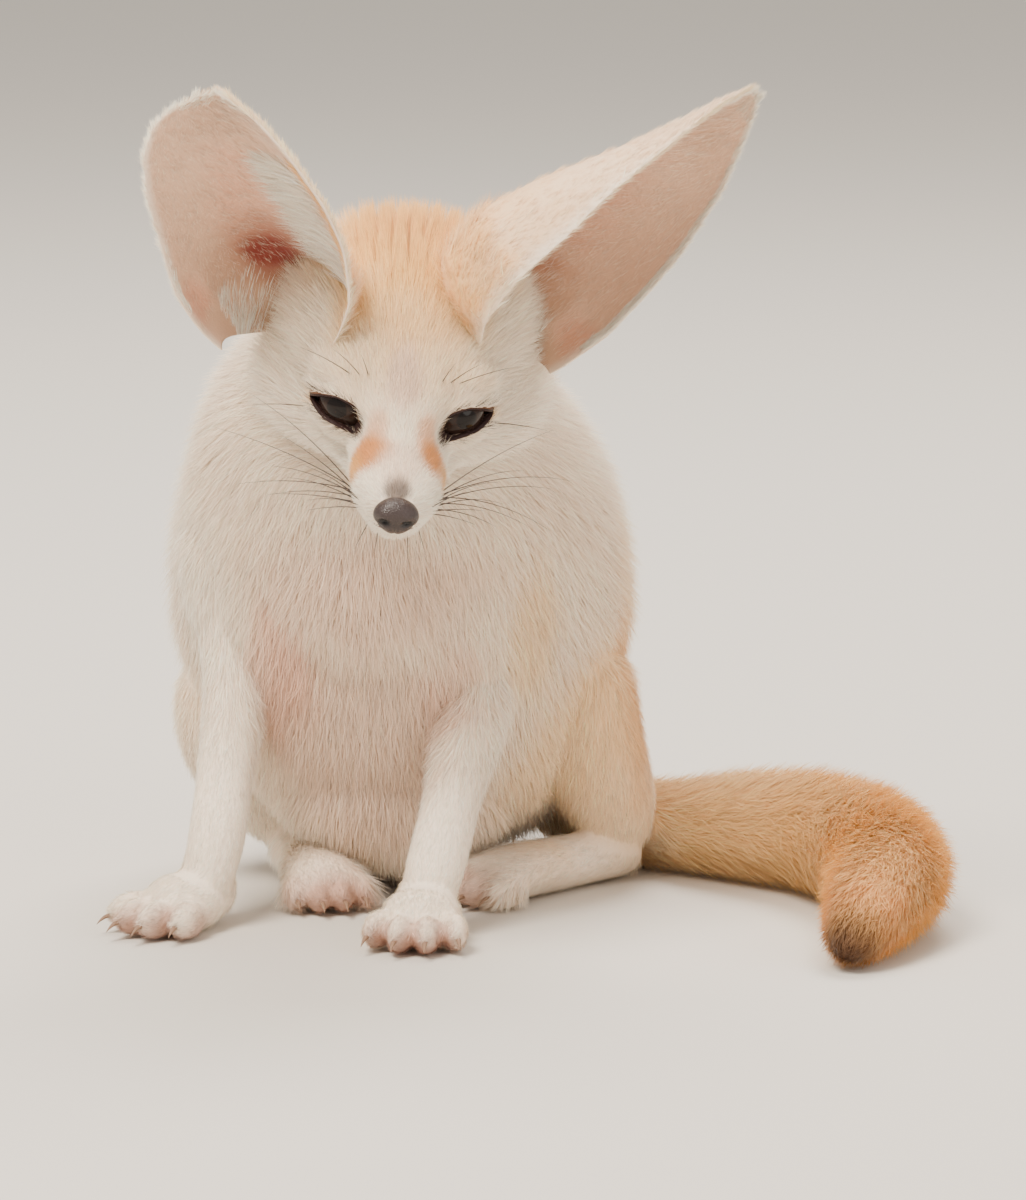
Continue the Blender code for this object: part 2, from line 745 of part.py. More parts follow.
def make_locks(band, helpers):
    """Rows of locks along a form, staggered like tiles, each a little unlike the next."""
    form, first, last, rows, count, low, high, length, width, rise, seed = band
    dice = random.Random(seed)
    stations, lateral = form_rows(form)
    steps = 6
    fine = smooth_rows(stations, 1 + steps * (len(stations) - 1))
    axes = ring_axes(fine, lateral)
    sizes = [tuple(row[3:5]) for row in fine]
    locks = []
    for row in range(rows):
        start = first + (last - first) * row / max(rows - 1, 1)
        for k in range(count):
            turn = (k + 0.5 * (row % 2)) / (count - 0.5)
            angle = math.radians(low + (high - low) * turn + dice.uniform(-3, 3))
            begin = (start + dice.uniform(-0.08, 0.08)) * steps
            reach = length * dice.uniform(0.85, 1.1) * steps
            stands = rise * dice.uniform(0.85, 1.1)
            if form == "tail":
                end = min((begin + reach) / steps, len(TAIL) - 1.001)
                outline = np.interp(end, range(len(TAIL)), [row[3] for row in TAIL])
                stands *= outline * (1 - TAIL_CORE[1] + 0.22 * max(0, math.cos(angle)))
            broad = width * dice.uniform(0.85, 1.1)
            locks.append(lock_mesh(axes, sizes, begin, reach, angle, broad, stands, helpers))
    return locks


def holds(tree, point):
    """Whether the closed surface in the tree has the point inside, from how often a ray meets it."""
    up = Vector((0, 0, 1))
    inside = False
    place = tree.ray_cast(point, up)[0]
    while place:
        inside = not inside
        place = tree.ray_cast(place + up * GAP * MM / 100, up)[0]
    return inside


def too_near(lock, others):
    """Whether a lock crosses another node, lies in it or comes within the clearance of it."""
    own = BVHTree.FromObject(lock, bpy.context.evaluated_depsgraph_get())
    points = [vert.co for vert in lock.data.vertices]
    points += [(a + b) / 2 for a, b in zip(points, points[4:])]
    for tree in others:
        if tree.overlap(own) or holds(tree, points[-1]):
            return True
        if any(tree.find_nearest(point, LOCK_CLEARANCE * MM)[0] for point in points):
            return True
    return False


def add_locks(name, nodes, helpers):
    """Joins a node's locks to it, leaving out those that would come near another node."""
    graph = bpy.context.evaluated_depsgraph_get()
    others = [BVHTree.FromObject(node, graph) for other, node in nodes.items() if other != name]
    bunch = bpy.data.collections.new("locks_" + name)
    helpers.children.link(bunch)
    for band in LOCK_BANDS[name]:
        for lock in make_locks(band, helpers):
            lowest = min(vert.co.z for vert in lock.data.vertices[4:])
            if lowest < FLOOR_CLEARANCE * MM or too_near(lock, others):
                remove(lock)
                continue
            bunch.objects.link(lock)
            helpers.objects.unlink(lock)
    node = nodes[name]
    step = node.modifiers.new("locks", "BOOLEAN")
    step.operation = "UNION"
    step.solver = "MANIFOLD"
    step.operand_type = "COLLECTION"
    step.collection = bunch
    whole = evaluated_copy(node, name + "_whole", helpers)
    node.modifiers.clear()
    node.data = whole.data
    keep_largest(node)
    remove(whole, *bunch.objects)
    bpy.data.collections.remove(bunch)


def clear_neck_from_ears(nodes, helpers):
    cutter = swollen(nodes["neck"], GAP, helpers)
    for side in ("left", "right"):
        combine(nodes["ear_" + side], cutter, "DIFFERENCE", "MANIFOLD")
    remove(cutter)


def flatten_below_floor(nodes, helpers):
    """Cuts what reaches below the floor, so that the fox rests on small flats."""
    bm = bmesh.new()
    bmesh.ops.create_cube(bm, size=1)
    bm.transform(Matrix.Translation((0, 0, -0.05)) @ Matrix.Diagonal((1, 1, 0.1, 1)))
    floor = new_object("floor", bm, helpers)
    for node in nodes.values():
        if min(vert.co.z for vert in node.data.vertices) < 0:
            combine(node, floor, "DIFFERENCE")
    remove(floor)


def main():
    clear_scene()
    collection = bpy.data.collections.new("fennec_fox")
    helpers = bpy.data.collections.new("helpers")
    for made in (collection, helpers):
        bpy.context.scene.collection.children.link(made)
    nodes = {"head": make_head(collection, helpers)}
    nodes["nose"] = make_nose(collection, helpers)
    for side, sign in (("left", 1), ("right", -1)):
        nodes["eye_" + side] = make_eye(sign, collection, EYE_RADIUS, "eye_" + side)
        nodes["ear_" + side] = make_ear(side, nodes["head"], collection, helpers)
        nodes["forepaw_" + side] = make_paw("forepaw_" + side, *FOREPAWS[side], collection, helpers)
        foot = "hindfoot_" + side
        nodes[foot] = make_hind_foot(foot, *HIND_FEET[side], collection, helpers)
    part_body(make_body(collection, helpers), nodes, collection, helpers)
    clear_neck_from_ears(nodes, helpers)
    for name in LOCK_BANDS:
        add_locks(name, nodes, helpers)
    flatten_below_floor(nodes, helpers)
    colours = {"nose": "nose", "eye_left": "dark", "eye_right": "dark"}
    materials = {name: make_material(name) for name in COLOURS}
    shift = Matrix.Translation(Vector(ORIGIN_SHIFT) * MM)
    for name, node in nodes.items():
        node.data.transform(shift)
        node.data.materials.clear()
        node.data.materials.append(materials[colours.get(name, "cream")])
        node.data.shade_smooth()


main()
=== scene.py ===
# A sitting fennec fox for Blender 4.5: one skin, solid mesh fur, ears, eyes, lids, nose, claws and whiskers.
# Tables are in millimetres, laid out as in the part's own source, and meshes are in metres.
import math

import bmesh
import bpy
import numpy as np
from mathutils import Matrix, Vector
from mathutils.bvhtree import BVHTree


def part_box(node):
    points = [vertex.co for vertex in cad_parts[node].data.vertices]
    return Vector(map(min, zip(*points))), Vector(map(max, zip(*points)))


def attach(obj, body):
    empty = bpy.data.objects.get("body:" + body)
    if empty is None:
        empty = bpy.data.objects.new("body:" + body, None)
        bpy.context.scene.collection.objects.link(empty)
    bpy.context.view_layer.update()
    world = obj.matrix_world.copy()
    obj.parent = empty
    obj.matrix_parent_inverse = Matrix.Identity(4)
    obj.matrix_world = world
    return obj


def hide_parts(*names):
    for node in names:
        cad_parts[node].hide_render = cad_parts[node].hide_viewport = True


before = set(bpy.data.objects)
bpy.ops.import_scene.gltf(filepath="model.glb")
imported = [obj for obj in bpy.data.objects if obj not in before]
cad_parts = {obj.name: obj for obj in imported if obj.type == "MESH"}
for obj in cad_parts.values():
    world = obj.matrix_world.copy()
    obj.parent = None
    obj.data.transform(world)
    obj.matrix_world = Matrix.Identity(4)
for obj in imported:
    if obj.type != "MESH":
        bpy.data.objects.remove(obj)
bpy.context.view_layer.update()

millimetre = 0.001


# Each row made one long
def unit(rows):
    return rows / np.maximum(np.linalg.norm(rows, axis=-1, keepdims=True), 1e-9)


# A rotation matrix about one axis, by degrees
def rotation(axis, degrees):
    c, s = math.cos(math.radians(degrees)), math.sin(math.radians(degrees))
    i, j = {"x": (1, 2), "y": (2, 0), "z": (0, 1)}[axis]
    turn = np.eye(3)
    turn[i, i] = turn[j, j] = c
    turn[j, i] = s
    turn[i, j] = -s
    return turn


# 0 below low, 1 above high, and an S-shaped rise between them
def smoothStep(low, high, value):
    t = np.clip((value - low) / (high - low), 0, 1)
    return t * t * (3 - 2 * t)


# Soft uneven values around zero, from a few crossed sine waves of about that wavelength
def waviness(points, wavelength, seed=0):
    dice = np.random.default_rng(seed)
    total = np.zeros(len(points))
    for _ in range(5):
        wave = dice.normal(size=3)
        wave *= dice.uniform(0.7, 1.6) * 2 * math.pi / wavelength / np.linalg.norm(wave)
        total += np.sin(points @ wave + dice.uniform(0, 2 * math.pi))
    return total / 5


# The head's own frame: origin between the eyes, -Y to the nose, +Z to the crown
headPlace = {"at": np.array([-30.0, -62.0, 146.0]), "pitch": 25, "roll": 6, "eyes": (0, 3.6, 0.5)}
headTurn = rotation("x", headPlace["pitch"]) @ rotation("y", headPlace["roll"])


# Points of the head's frame in the tables' layout
def fromHead(points):
    return np.asarray(points, float) @ headTurn.T + headPlace["at"]


# Points of the tables' layout in the head's frame
def toHead(points):
    return (points - headPlace["at"]) @ headTurn


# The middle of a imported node's box, in millimetres
def nodeMiddle(name):
    low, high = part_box(name)
    return (np.array(low) + np.array(high)) / 2 / millimetre


# The tables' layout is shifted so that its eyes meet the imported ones
eyesMiddle = (nodeMiddle("eye_left") + nodeMiddle("eye_right")) / 2
originShift = eyesMiddle - fromHead(headPlace["eyes"])


# Points of the tables' layout in metres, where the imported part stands
def inMetres(points):
    return (points + originShift) * millimetre


# A mesh object from points in millimetres and index arrays of triangles or quads
def meshObject(name, points, faces, stage=False):
    mesh = bpy.data.meshes.new(name)
    mesh.vertices.add(len(points))
    mesh.vertices.foreach_set("co", inMetres(points).ravel())
    corners = np.concatenate([face.ravel() for face in faces])
    sizes = np.concatenate([np.full(len(face), face.shape[1]) for face in faces])
    mesh.loops.add(len(corners))
    mesh.loops.foreach_set("vertex_index", corners)
    mesh.polygons.add(len(sizes))
    mesh.polygons.foreach_set("loop_start", np.cumsum(sizes) - sizes)
    mesh.update(calc_edges=True)
    mesh.shade_smooth()
    made = bpy.data.objects.new(name, mesh)
    bpy.context.scene.collection.objects.link(made)
    if not stage:
        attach(made, "root")
    return made


# A mesh's points in the tables' layout
def meshPoints(mesh):
    points = np.empty(len(mesh.vertices) * 3)
    mesh.vertices.foreach_get("co", points)
    return points.reshape(-1, 3) / millimetre - originShift


# A mesh's normal at each of its points
def meshNormals(mesh):
    normals = np.empty(len(mesh.vertices) * 3)
    mesh.vertex_normals.foreach_get("vector", normals)
    return normals.reshape(-1, 3)


# The point numbers of a mesh's triangles
def meshTriangles(mesh):
    mesh.calc_loop_triangles()
    corners = np.empty(len(mesh.loop_triangles) * 3, int)
    mesh.loop_triangles.foreach_get("vertices", corners)
    return corners.reshape(-1, 3)


# Rows resampled on a Catmull-Rom spline, evenly in their own numbering
def smoothRows(rows, count):
    rows = np.array(rows, float)
    padded = np.vstack([2 * rows[0] - rows[1], rows, 2 * rows[-1] - rows[-2]])
    place = np.linspace(0, len(rows) - 1, count)
    first = np.minimum(place.astype(int), len(rows) - 2)
    t = (place - first)[:, None]
    a, b, c, d = (padded[first + k] for k in range(4))
    return 0.5 * (2 * b + (c - a) * t + (2 * a - 5 * b + 4 * c - d) * t**2 + (3 * b - a - 3 * c + d) * t**3)


# Unit directions of each station's half width and half depth, square to the path
def ringAxes(rows, lateral):
    along = unit(np.gradient(rows[:, :3], axis=0))
    side = unit(np.array(lateral, float) - along * (along @ np.array(lateral, float))[:, None])
    return along, side, np.cross(along, side)


# Points and faces of a stack of closed rings, with a pole at each end
def closedRings(rings, firstPole, lastPole):
    count, sides = rings.shape[:2]
    index = np.arange(count * sides).reshape(count, sides)
    following = np.roll(index, -1, axis=1)
    quads = np.stack([index[:-1], following[:-1], following[1:], index[1:]], -1).reshape(-1, 4)
    first, last = np.full(sides, count * sides), np.full(sides, count * sides + 1)
    ends = np.concatenate([
        np.stack([following[0], index[0], first], -1),
        np.stack([index[-1], following[-1], last], -1),
    ])
    return np.concatenate([rings.reshape(-1, 3), [firstPole], [lastPole]]), [quads, ends]


# A tube: ellipses of the stations' half width and depth, carried along the path through them
def tube(rows, count=60, sides=40, lateral=(1, 0, 0)):
    rows = smoothRows(rows, count)
    _, side, up = ringAxes(rows, lateral)
    turn = np.linspace(0, 2 * math.pi, sides, endpoint=False)
    wide = np.maximum(rows[:, 3], 0.5)[:, None] * np.cos(turn)
    deep = np.maximum(rows[:, 4], 0.5)[:, None] * np.sin(turn)
    rings = rows[:, None, :3] + side[:, None] * wide[..., None] + up[:, None] * deep[..., None]
    return closedRings(rings, rows[0, :3], rows[-1, :3])


# A ball stretched to (x, y, z, half sizes), as rings of latitude from its lowest point
def ball(blob, sides=40, turn=np.eye(3)):
    centre, half = np.array(blob[:3], float), np.array(blob[3:6], float)
    latitude = np.linspace(-math.pi / 2, math.pi / 2, sides // 2 + 1)[1:-1, None]
    around = np.linspace(0, 2 * math.pi, sides, endpoint=False)
    rings = np.stack(np.broadcast_arrays(
        np.cos(latitude) * np.cos(around), np.cos(latitude) * np.sin(around), np.sin(latitude)
    ), -1)
    points, faces = closedRings(rings, (0, 0, -1), (0, 0, 1))
    return points * half @ turn.T + centre, faces


# The body's forms: stations are x, y, z, half width and half depth out to the tips of the short coat
bodyForms = {
    "torso": [
        (-38, -16, 158, 22, 20), (-38, -10, 150, 37, 34), (-37, 3, 133, 49, 43), (-34, 16, 110, 59, 47),
        (-32, 27, 86, 62, 50), (-30, 38, 62, 60, 50), (-28, 52, 42, 53, 40), (-25, 66, 30, 38, 27),
        (-24, 74, 26, 18, 14),
    ],
    "neck": [
        (-30, -34, 162, 24, 22), (-31, -24, 158, 31, 29), (-33, -10, 150, 38, 35), (-35, 2, 138, 44, 40),
        (-36, 8, 130, 30, 28),
    ],
    "forelegLeft": [
        (-10, 4, 116, 13, 14), (-7, 3, 104, 18, 19), (-4, 3, 92, 16, 17), (-4, 0, 80, 12.5, 13.5),
        (-9, -12, 62, 10.2, 10.6), (-16, -28, 38, 9.4, 9.6), (-21, -40, 20, 9.6, 9.6), (-24, -46, 10, 8.5, 8),
    ],
    "forelegRight": [
        (-72, 6, 114, 13, 14), (-76, 6, 102, 18, 18), (-79, 6, 90, 15, 16), (-78, 3, 78, 12.2, 13),
        (-78, -5, 62, 10, 10.4), (-80, -17, 42, 9.4, 9.6), (-82, -27, 25, 9.4, 9.6), (-85, -32, 12, 8.5, 8),
    ],
    "thighLeft": [
        (2, 66, 48, 20, 24), (8, 56, 54, 24, 29), (13, 36, 60, 21, 25), (17, 17, 64, 16.5, 17),
        (18, 9, 64, 8, 9),
    ],
    "thighRight": [
        (-58, 66, 48, 20, 24), (-65, 56, 52, 25, 28), (-75, 41, 55, 22, 26), (-81, 30, 57, 17.5, 19),
        (-83, 21, 58, 8, 9),
    ],
    "shankLeft": [
        (18, 16, 70, 12, 12), (19, 16, 62, 16.5, 16), (22, 21, 43, 17, 16), (28, 29, 24, 14.5, 13),
        (32, 35, 12, 9.5, 8.5),
    ],
    "shankRight": [
        (-81, 28, 66, 12, 12), (-81, 29, 57, 17, 16), (-79, 33, 42, 18, 17), (-71, 42, 24, 15.5, 13),
        (-65, 49, 12, 9.5, 8.5),
    ],
    # The tail's stations have the half width out to the tips of the brush, twice
    "tail": [
        (-14, 74, 27, 15.5, 15.5), (6, 72, 22, 15.5, 15.5), (26, 62, 17, 16.5, 16.5),
        (44, 48, 17, 17.5, 17.5), (64, 35, 19.5, 20.5, 20.5), (84, 17, 22, 22.5, 22.5),
        (98, -8, 22.5, 23.5, 23.5), (103, -38, 22, 23, 23), (98, -64, 18, 19, 19),
        (92, -82, 12, 12.5, 12.5), (89, -90, 8, 6, 6),
    ],
}
bodySwells = {
    "chest": (-38, -12, 104, 35, 26, 40), "belly": (-33, 20, 38, 40, 32, 34),
    "rump": (-26, 62, 26, 44, 30, 27),
}
headForms = {
    "skull": [
        (0, -36, -9, 4.5, 4.5), (0, -33, -9, 8.5, 7), (0, -27, -8.5, 12.0, 9.2), (0, -19, -7.5, 13.6, 11),
        (0, -11, -6, 14.4, 12.6), (0, -3, -3, 17, 15.5), (0, 6, 0, 24, 20), (0, 18, 4, 30, 26),
        (0, 30, 7, 33, 29), (0, 42, 7, 32, 27), (0, 52, 5, 25, 21), (0, 59, 4, 13, 11),
    ],
    "jaw": [
        (0, -31, -15.5, 5, 2.8), (0, -27, -16, 8, 4.2), (0, -18, -15.5, 10.5, 5.5), (0, -6, -14.5, 14, 7),
        (0, 8, -12, 20, 9), (0, 20, -8, 14, 8),
    ],
    "ruff": [
        (0, -2, -9, 14, 8), (0, 5, -9.5, 25, 13), (0, 13, -9.5, 35, 17), (0, 23, -8, 39.5, 19),
        (0, 33, -5, 38, 19), (0, 44, -1, 28, 15),
    ],
}
browSwell = (15, 7, 9, 11, 9, 7)
pawForm = {
    "wrists": {"Left": ((-24, -46), 8), "Right": ((-87, -30), 40)},
    "pad": (0, -6, 7.5, 12, 13, 9.5),
    "wrist": (0, 3, 10, 9.5, 9, 10),
    "toes": [(-10.2, -15, -16), (-3.6, -20, -4.6), (3.6, -20, 4.6), (10.2, -15, 16)],
    "toe": (5.6, 4.6, 9.5, 6.4),
}
footForm = {
    "ends": {"Left": ((33, 37), (-16, -10)), "Right": ((-64, 50), (-50, -20))},
    "sole": [
        (0.0, 9, 8, 8.5), (0.12, 9, 9.5, 9), (0.35, 8, 9, 8.5), (0.62, 8, 11, 8.5), (0.84, 7, 12.5, 7.5),
        (0.92, 6, 9, 5),
    ],
    "toes": [(-9.6, -11), (-3.3, -7), (3.3, -7), (9.6, -11)],
    "toe": (5.3, 4.3, 9, 6.0),
}
# How far the skin lies inside each form, from its first station to its last
coatDepth = {
    "torso": (-1.2, -1.2), "neck": (-1.0, -1.0), "forelegLeft": (2.2, 1.5), "forelegRight": (2.2, 1.5),
    "thighLeft": (3, 2.5), "thighRight": (3, 2.5), "shankLeft": (2.5, 1.6), "shankRight": (2.5, 1.6),
    "skull": (1.0, 1.2, 1.3, 1.4, 1.6, 2, 2.6, 3, 3.2, 3.2, 3, 2), "jaw": (1, 1.5, 2.5),
    "ruff": (3, 5, 6), "swell": 4.5, "paw": 1.1, "tail": 0.6,
}
skinMake = {"voxel": 1.2, "smoothing": 5, "faceReach": (0, -14, -3, 30), "lipDepth": 0.9, "lipWidth": 0.8}


# Stations with their half sizes drawn in by the coat's depth there
def drawnIn(rows, depths):
    rows = np.array(rows, float)
    depths = np.atleast_1d(depths)
    by = np.interp(np.linspace(0, 1, len(rows)), np.linspace(0, 1, len(depths)), depths)
    rows[:, 3:5] = np.maximum(rows[:, 3:5] - by[:, None], 0.8)
    return rows


# The tail's flesh: a share of the brush's width, lying low in it as the brush is pressed on the floor
def tailFlesh(share):
    rows = np.array(bodyForms["tail"], float)
    rows[:, 2] -= (1 - share) * rows[:, 3] * 0.5
    rows[:, 3:5] *= share
    return rows


# The places of a hind foot's stations and toes, from its heel and toe ends
def footAxes(side):
    heel, toes = (np.array([*end, 0.0]) for end in footForm["ends"][side])
    ahead = unit(toes - heel)
    across = np.array([-ahead[1], ahead[0], 0])
    return heel, toes, ahead, across


# A form of the head's frame, moved into the tables' layout
def headPart(shape):
    return fromHead(shape[0]), shape[1]


# A point or ball of the head's left side on the side asked for, 1 or -1
def mirrored(blob, side):
    return (side * blob[0], *blob[1:])


# The overlapping closed forms that the skin is fused from
def skinPieces():
    pieces = [headPart(tube(drawnIn(rows, coatDepth[name]))) for name, rows in headForms.items()]
    for side in (-1, 1):
        shrunk = (*browSwell[:3], *(size - 2 for size in browSwell[3:]))
        pieces.append(headPart(ball(mirrored(shrunk, side))))
        lid = eyeForm["radius"] + eyeForm["lid"]
        pieces.append(headPart(ball((*mirrored(eyeForm["at"], side), lid, lid, lid))))
    for name, rows in bodyForms.items():
        if name != "tail":
            pieces.append(tube(drawnIn(rows, coatDepth[name])))
    pieces.append(tube(tailFlesh(coatDepth["tail"]), 120, 32, (0, 0, 1)))
    for blob in bodySwells.values():
        pieces.append(ball((*blob[:3], *(size - coatDepth["swell"] for size in blob[3:]))))
    for side in ("Left", "Right"):
        wrist, heading = pawForm["wrists"][side]
        turn = rotation("z", -heading)
        move = np.array([*wrist, 0.0])
        blobs = [(pawForm["pad"], np.eye(3)), (pawForm["wrist"], np.eye(3))]
        blobs += [((x, y, *pawForm["toe"]), rotation("z", fan)) for x, y, fan in pawForm["toes"]]
        for blob, bend in blobs:
            points, faces = ball((*blob[:3], *(size - coatDepth["paw"] for size in blob[3:])), turn=bend)
            pieces.append((points @ turn.T + move, faces))
        heel, toes, ahead, across = footAxes(side)
        reach = np.linalg.norm(toes - heel)
        rows = [(*(heel + ahead * reach * row[0])[:2], *row[1:]) for row in footForm["sole"]]
        pieces.append(tube(drawnIn(rows, coatDepth["paw"]), lateral=across))
        turn = np.stack([across, -ahead, (0, 0, 1)], 1)
        for off, short in footForm["toes"]:
            centre = toes + across * off + ahead * short
            sizes = [size - coatDepth["paw"] for size in footForm["toe"][1:]]
            pieces.append(ball((*centre[:2], footForm["toe"][0], *sizes), turn=turn))
    return pieces


# Many shapes' points and faces as one
def joined(pieces):
    points, faces, start = [], {3: [], 4: []}, 0
    for some, lists in pieces:
        points.append(some)
        for face in lists:
            faces[face.shape[1]].append(face + start)
        start += len(some)
    return np.concatenate(points), [np.concatenate(found) for found in faces.values() if found]


eyeForm = {
    "at": (13.6, 3.6, 0.5), "looks": (0.42, -0.86, 0.25), "radius": 7.6, "lid": 1.4, "tilt": 20,
    # the opening of the lids, seen along the gaze: outer corner, over the top, inner corner, underneath
    "opening": [
        (11.0, -2.7), (9, -1.0), (6, 1.2), (1.5, 3.2), (-4, 3.3), (-7.4, 1.2), (-8.8, -1.6), (-8.8, -4.2),
        (-5.5, -4.2), (-1.5, -4.2), (3, -4.5), (6.4, -3.8), (9, -3.2),
    ],
    "middle": (0.8, -0.7), "stretch": 0.75, "wall": 8.7, "pit": 6.3, "bare": 1.04, "darkSkin": (1.0, 1.08),
    # the rim of the lids: how far out in the opening, and how far from the eye's middle
    "rim": [(0.82, 6.6), (0.87, 7.9), (0.91, 8.7), (0.96, 9.0), (1.02, 8.95), (1.10, 8.4)],
    "rimTint": ("umber", "lidBrown", "lidBrown", "lidBrown", "lidBrown", "brown"),
    # the innermost ring is drawn in by this share towards the inner corner, over this stretch of the slit
    "innerTuck": 0.16, "innerFade": (-3, -8.5), "rimThick": 0.5,
    "iris": (42, 29, 24), "irisEdge": (30, 20, 18), "pupil": (20, 14, 13), "white": (60, 40, 36),
    "irisSize": 6.2, "pupilSize": 2.6, "whiteFade": 0.6, "cornea": 0.5, "long": 1.16, "off": 0.9,
    "pressAt": (12.5, -9, 0), "pressSize": (6, 8, 7), "press": (-2.8, 1.2, 0),
}
lipForm = {
    "line": [
        (0, -40.5, -13.6), (4, -38.2, -14.2), (8, -32.5, -14.6), (11.2, -24.5, -14.2), (14.4, -15, -12.8),
        (19, -7, -11),
    ],
    "thick": 0.6, "tint": (112, 80, 76),
}


# The eye's axes in the head's frame: along the slit, up towards the brow, and the way it looks
def eyeAxes(side):
    look = unit(np.array(mirrored(eyeForm["looks"], side)))
    across = unit(np.array([side, 0, 0]) - look * look[0] * side)
    angle = math.radians(side * eyeForm["tilt"])
    across = across * math.cos(angle) + np.cross(look, across) * math.sin(angle)
    return np.stack([across, np.cross(look, across), look])


# How far out a point lies in the opening of the lids, which is 1 on its edge
def almond(x, y):
    points = smoothRows(eyeForm["opening"] + eyeForm["opening"][:1], 97)[:-1] - eyeForm["middle"]
    angle = np.arctan2(points[:, 1], points[:, 0])
    order = np.argsort(angle)
    angle, reach = angle[order], np.linalg.norm(points, axis=1)[order]
    x, y = x - eyeForm["middle"][0], y - eyeForm["middle"][1]
    return np.hypot(x, y) / np.interp(np.arctan2(y, x), angle, reach, period=2 * math.pi)


# A point's place in the eye's own frame, with the outer corner towards +X and the brow towards +Y
def toEye(local, side):
    return (local - mirrored(eyeForm["at"], side)) @ eyeAxes(side).T * (1, side, 1)


# A point of the eye's own frame in the head's
def fromEye(at, side):
    return (at * (1, side, 1)) @ eyeAxes(side) + mirrored(eyeForm["at"], side)


# Distance from the eye's middle, shorter along the slit, as the lids' wall is drawn out there
def lidReach(at):
    return np.linalg.norm(at * (eyeForm["stretch"], 1, 1), axis=1)


# How far out points of the head lie in one eye's opening, and 9 for those beyond that reach of it
def openingAt(local, side, reach):
    at = toEye(local, side)
    near = (at[:, 2] > 0) & (lidReach(at) < reach)
    return np.where(near, almond(at[:, 0], at[:, 1]), 9)


# Opens the lids over the eyeballs and presses the line of the lips into the skin
def sculptFace(points):
    local = toHead(points)
    for side in (-1, 1):
        gap = np.linalg.norm((local - mirrored(eyeForm["pressAt"], side)) / eyeForm["pressSize"], axis=1)
        local = local + np.exp(-2 * gap**2)[:, None] * mirrored(eyeForm["press"], side)
    for side in (-1, 1):
        at = toEye(local, side)
        far = lidReach(at)
        near = (at[:, 2] > 0.5) & (far < 13)
        opened = near & (almond(at[:, 0], at[:, 1]) < 0.95)
        wanted = np.where(opened, eyeForm["pit"], np.maximum(far, eyeForm["wall"]))
        at = np.where(near[:, None], at * (wanted / np.maximum(far, 1e-6))[:, None], at)
        local = np.where(near[:, None], fromEye(at, side), local)
    half = smoothRows(lipForm["line"], 60)
    line = np.vstack([half[::-1] * (-1, 1, 1), half[1:]])
    close = np.flatnonzero((local[:, 1] < 0) & (local[:, 2] < -5))
    gap = np.linalg.norm(local[close][:, None] - line[None], axis=2).min(1)
    inward = unit(np.array([0, 0, -12.0]) - local[close] * (1, 0, 1))
    press = skinMake["lipDepth"] * np.exp(-((gap / skinMake["lipWidth"]) ** 2))
    local[close] += inward * press[:, None]
    return fromHead(local)


# One closed skin: the forms fused by voxels, eased, made finer on the face, and sculpted
def makeSkin():
    points, faces = joined(skinPieces())
    rough = meshObject("skinRough", points, faces, stage=True)
    fuse = rough.modifiers.new("fuse", "REMESH")
    fuse.mode = "VOXEL"
    fuse.voxel_size = skinMake["voxel"] * millimetre
    soften = rough.modifiers.new("soften", "SMOOTH")
    soften.iterations = skinMake["smoothing"]
    graph = bpy.context.evaluated_depsgraph_get()
    mesh = bpy.data.meshes.new_from_object(rough.evaluated_get(graph))
    bpy.data.objects.remove(rough)
    refineFace(mesh)
    points = sculptFace(meshPoints(mesh))
    points[:, 2] = np.maximum(points[:, 2], 0.3)
    mesh.vertices.foreach_set("co", inMetres(points).ravel())
    mesh.update()
    mesh.shade_smooth()
    skin = bpy.data.objects.new("skin", mesh)
    bpy.context.scene.collection.objects.link(skin)
    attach(skin, "root")
    return skin


# Cuts each face near the eyes and muzzle into four
def refineFace(mesh):
    bm = bmesh.new()
    bm.from_mesh(mesh)
    points = toHead(meshPoints(mesh))
    *middle, reach = skinMake["faceReach"]
    near = (np.linalg.norm((points - middle) * (1, 0.9, 1), axis=1) < reach) & (points[:, 1] < 14)
    bm.verts.ensure_lookup_table()
    edges = [edge for edge in bm.edges if near[edge.verts[0].index] and near[edge.verts[1].index]]
    bmesh.ops.subdivide_edges(bm, edges=edges, cuts=1, use_grid_fill=True, smooth=0.6)
    bmesh.ops.triangulate(bm, faces=bm.faces)
    bm.to_mesh(mesh)
    bm.free()


# Colours as they look under white light, 0 to 255
palette = {
    "white": (255, 240, 222), "cream": (252, 226, 192), "milk": (253, 230, 206), "shade": (232, 202, 178),
    "fawn": (240, 188, 128), "sand": (250, 214, 166), "golden": (250, 202, 130), "crown": (242, 192, 118),
    "orange": (228, 168, 92), "rust": (206, 132, 62), "amber": (236, 174, 104), "tailPeach": (255, 226, 186),
    "tailGold": (255, 208, 146), "tailAmber": (246, 196, 124), "pink": (226, 160, 130),
    "deepPink": (170, 112, 90), "red": (128, 44, 36), "brown": (134, 90, 64), "umber": (96, 66, 46),
    "lidBrown": (44, 27, 26), "ash": (92, 74, 68), "earSkin": (222, 182, 152), "earBack": (244, 212, 178),
}


# A palette colour, or any colour from 0 to 255, as linear light
def linear(name):
    value = np.array(palette[name] if isinstance(name, str) else name, float) / 255
    return np.where(value < 0.04045, value / 12.92, ((value + 0.055) / 1.055) ** 2.4)


# Colours moved by a share of the way to one colour
def towards(colour, name, weight):
    return colour * (1 - weight[..., None]) + linear(name) * weight[..., None]


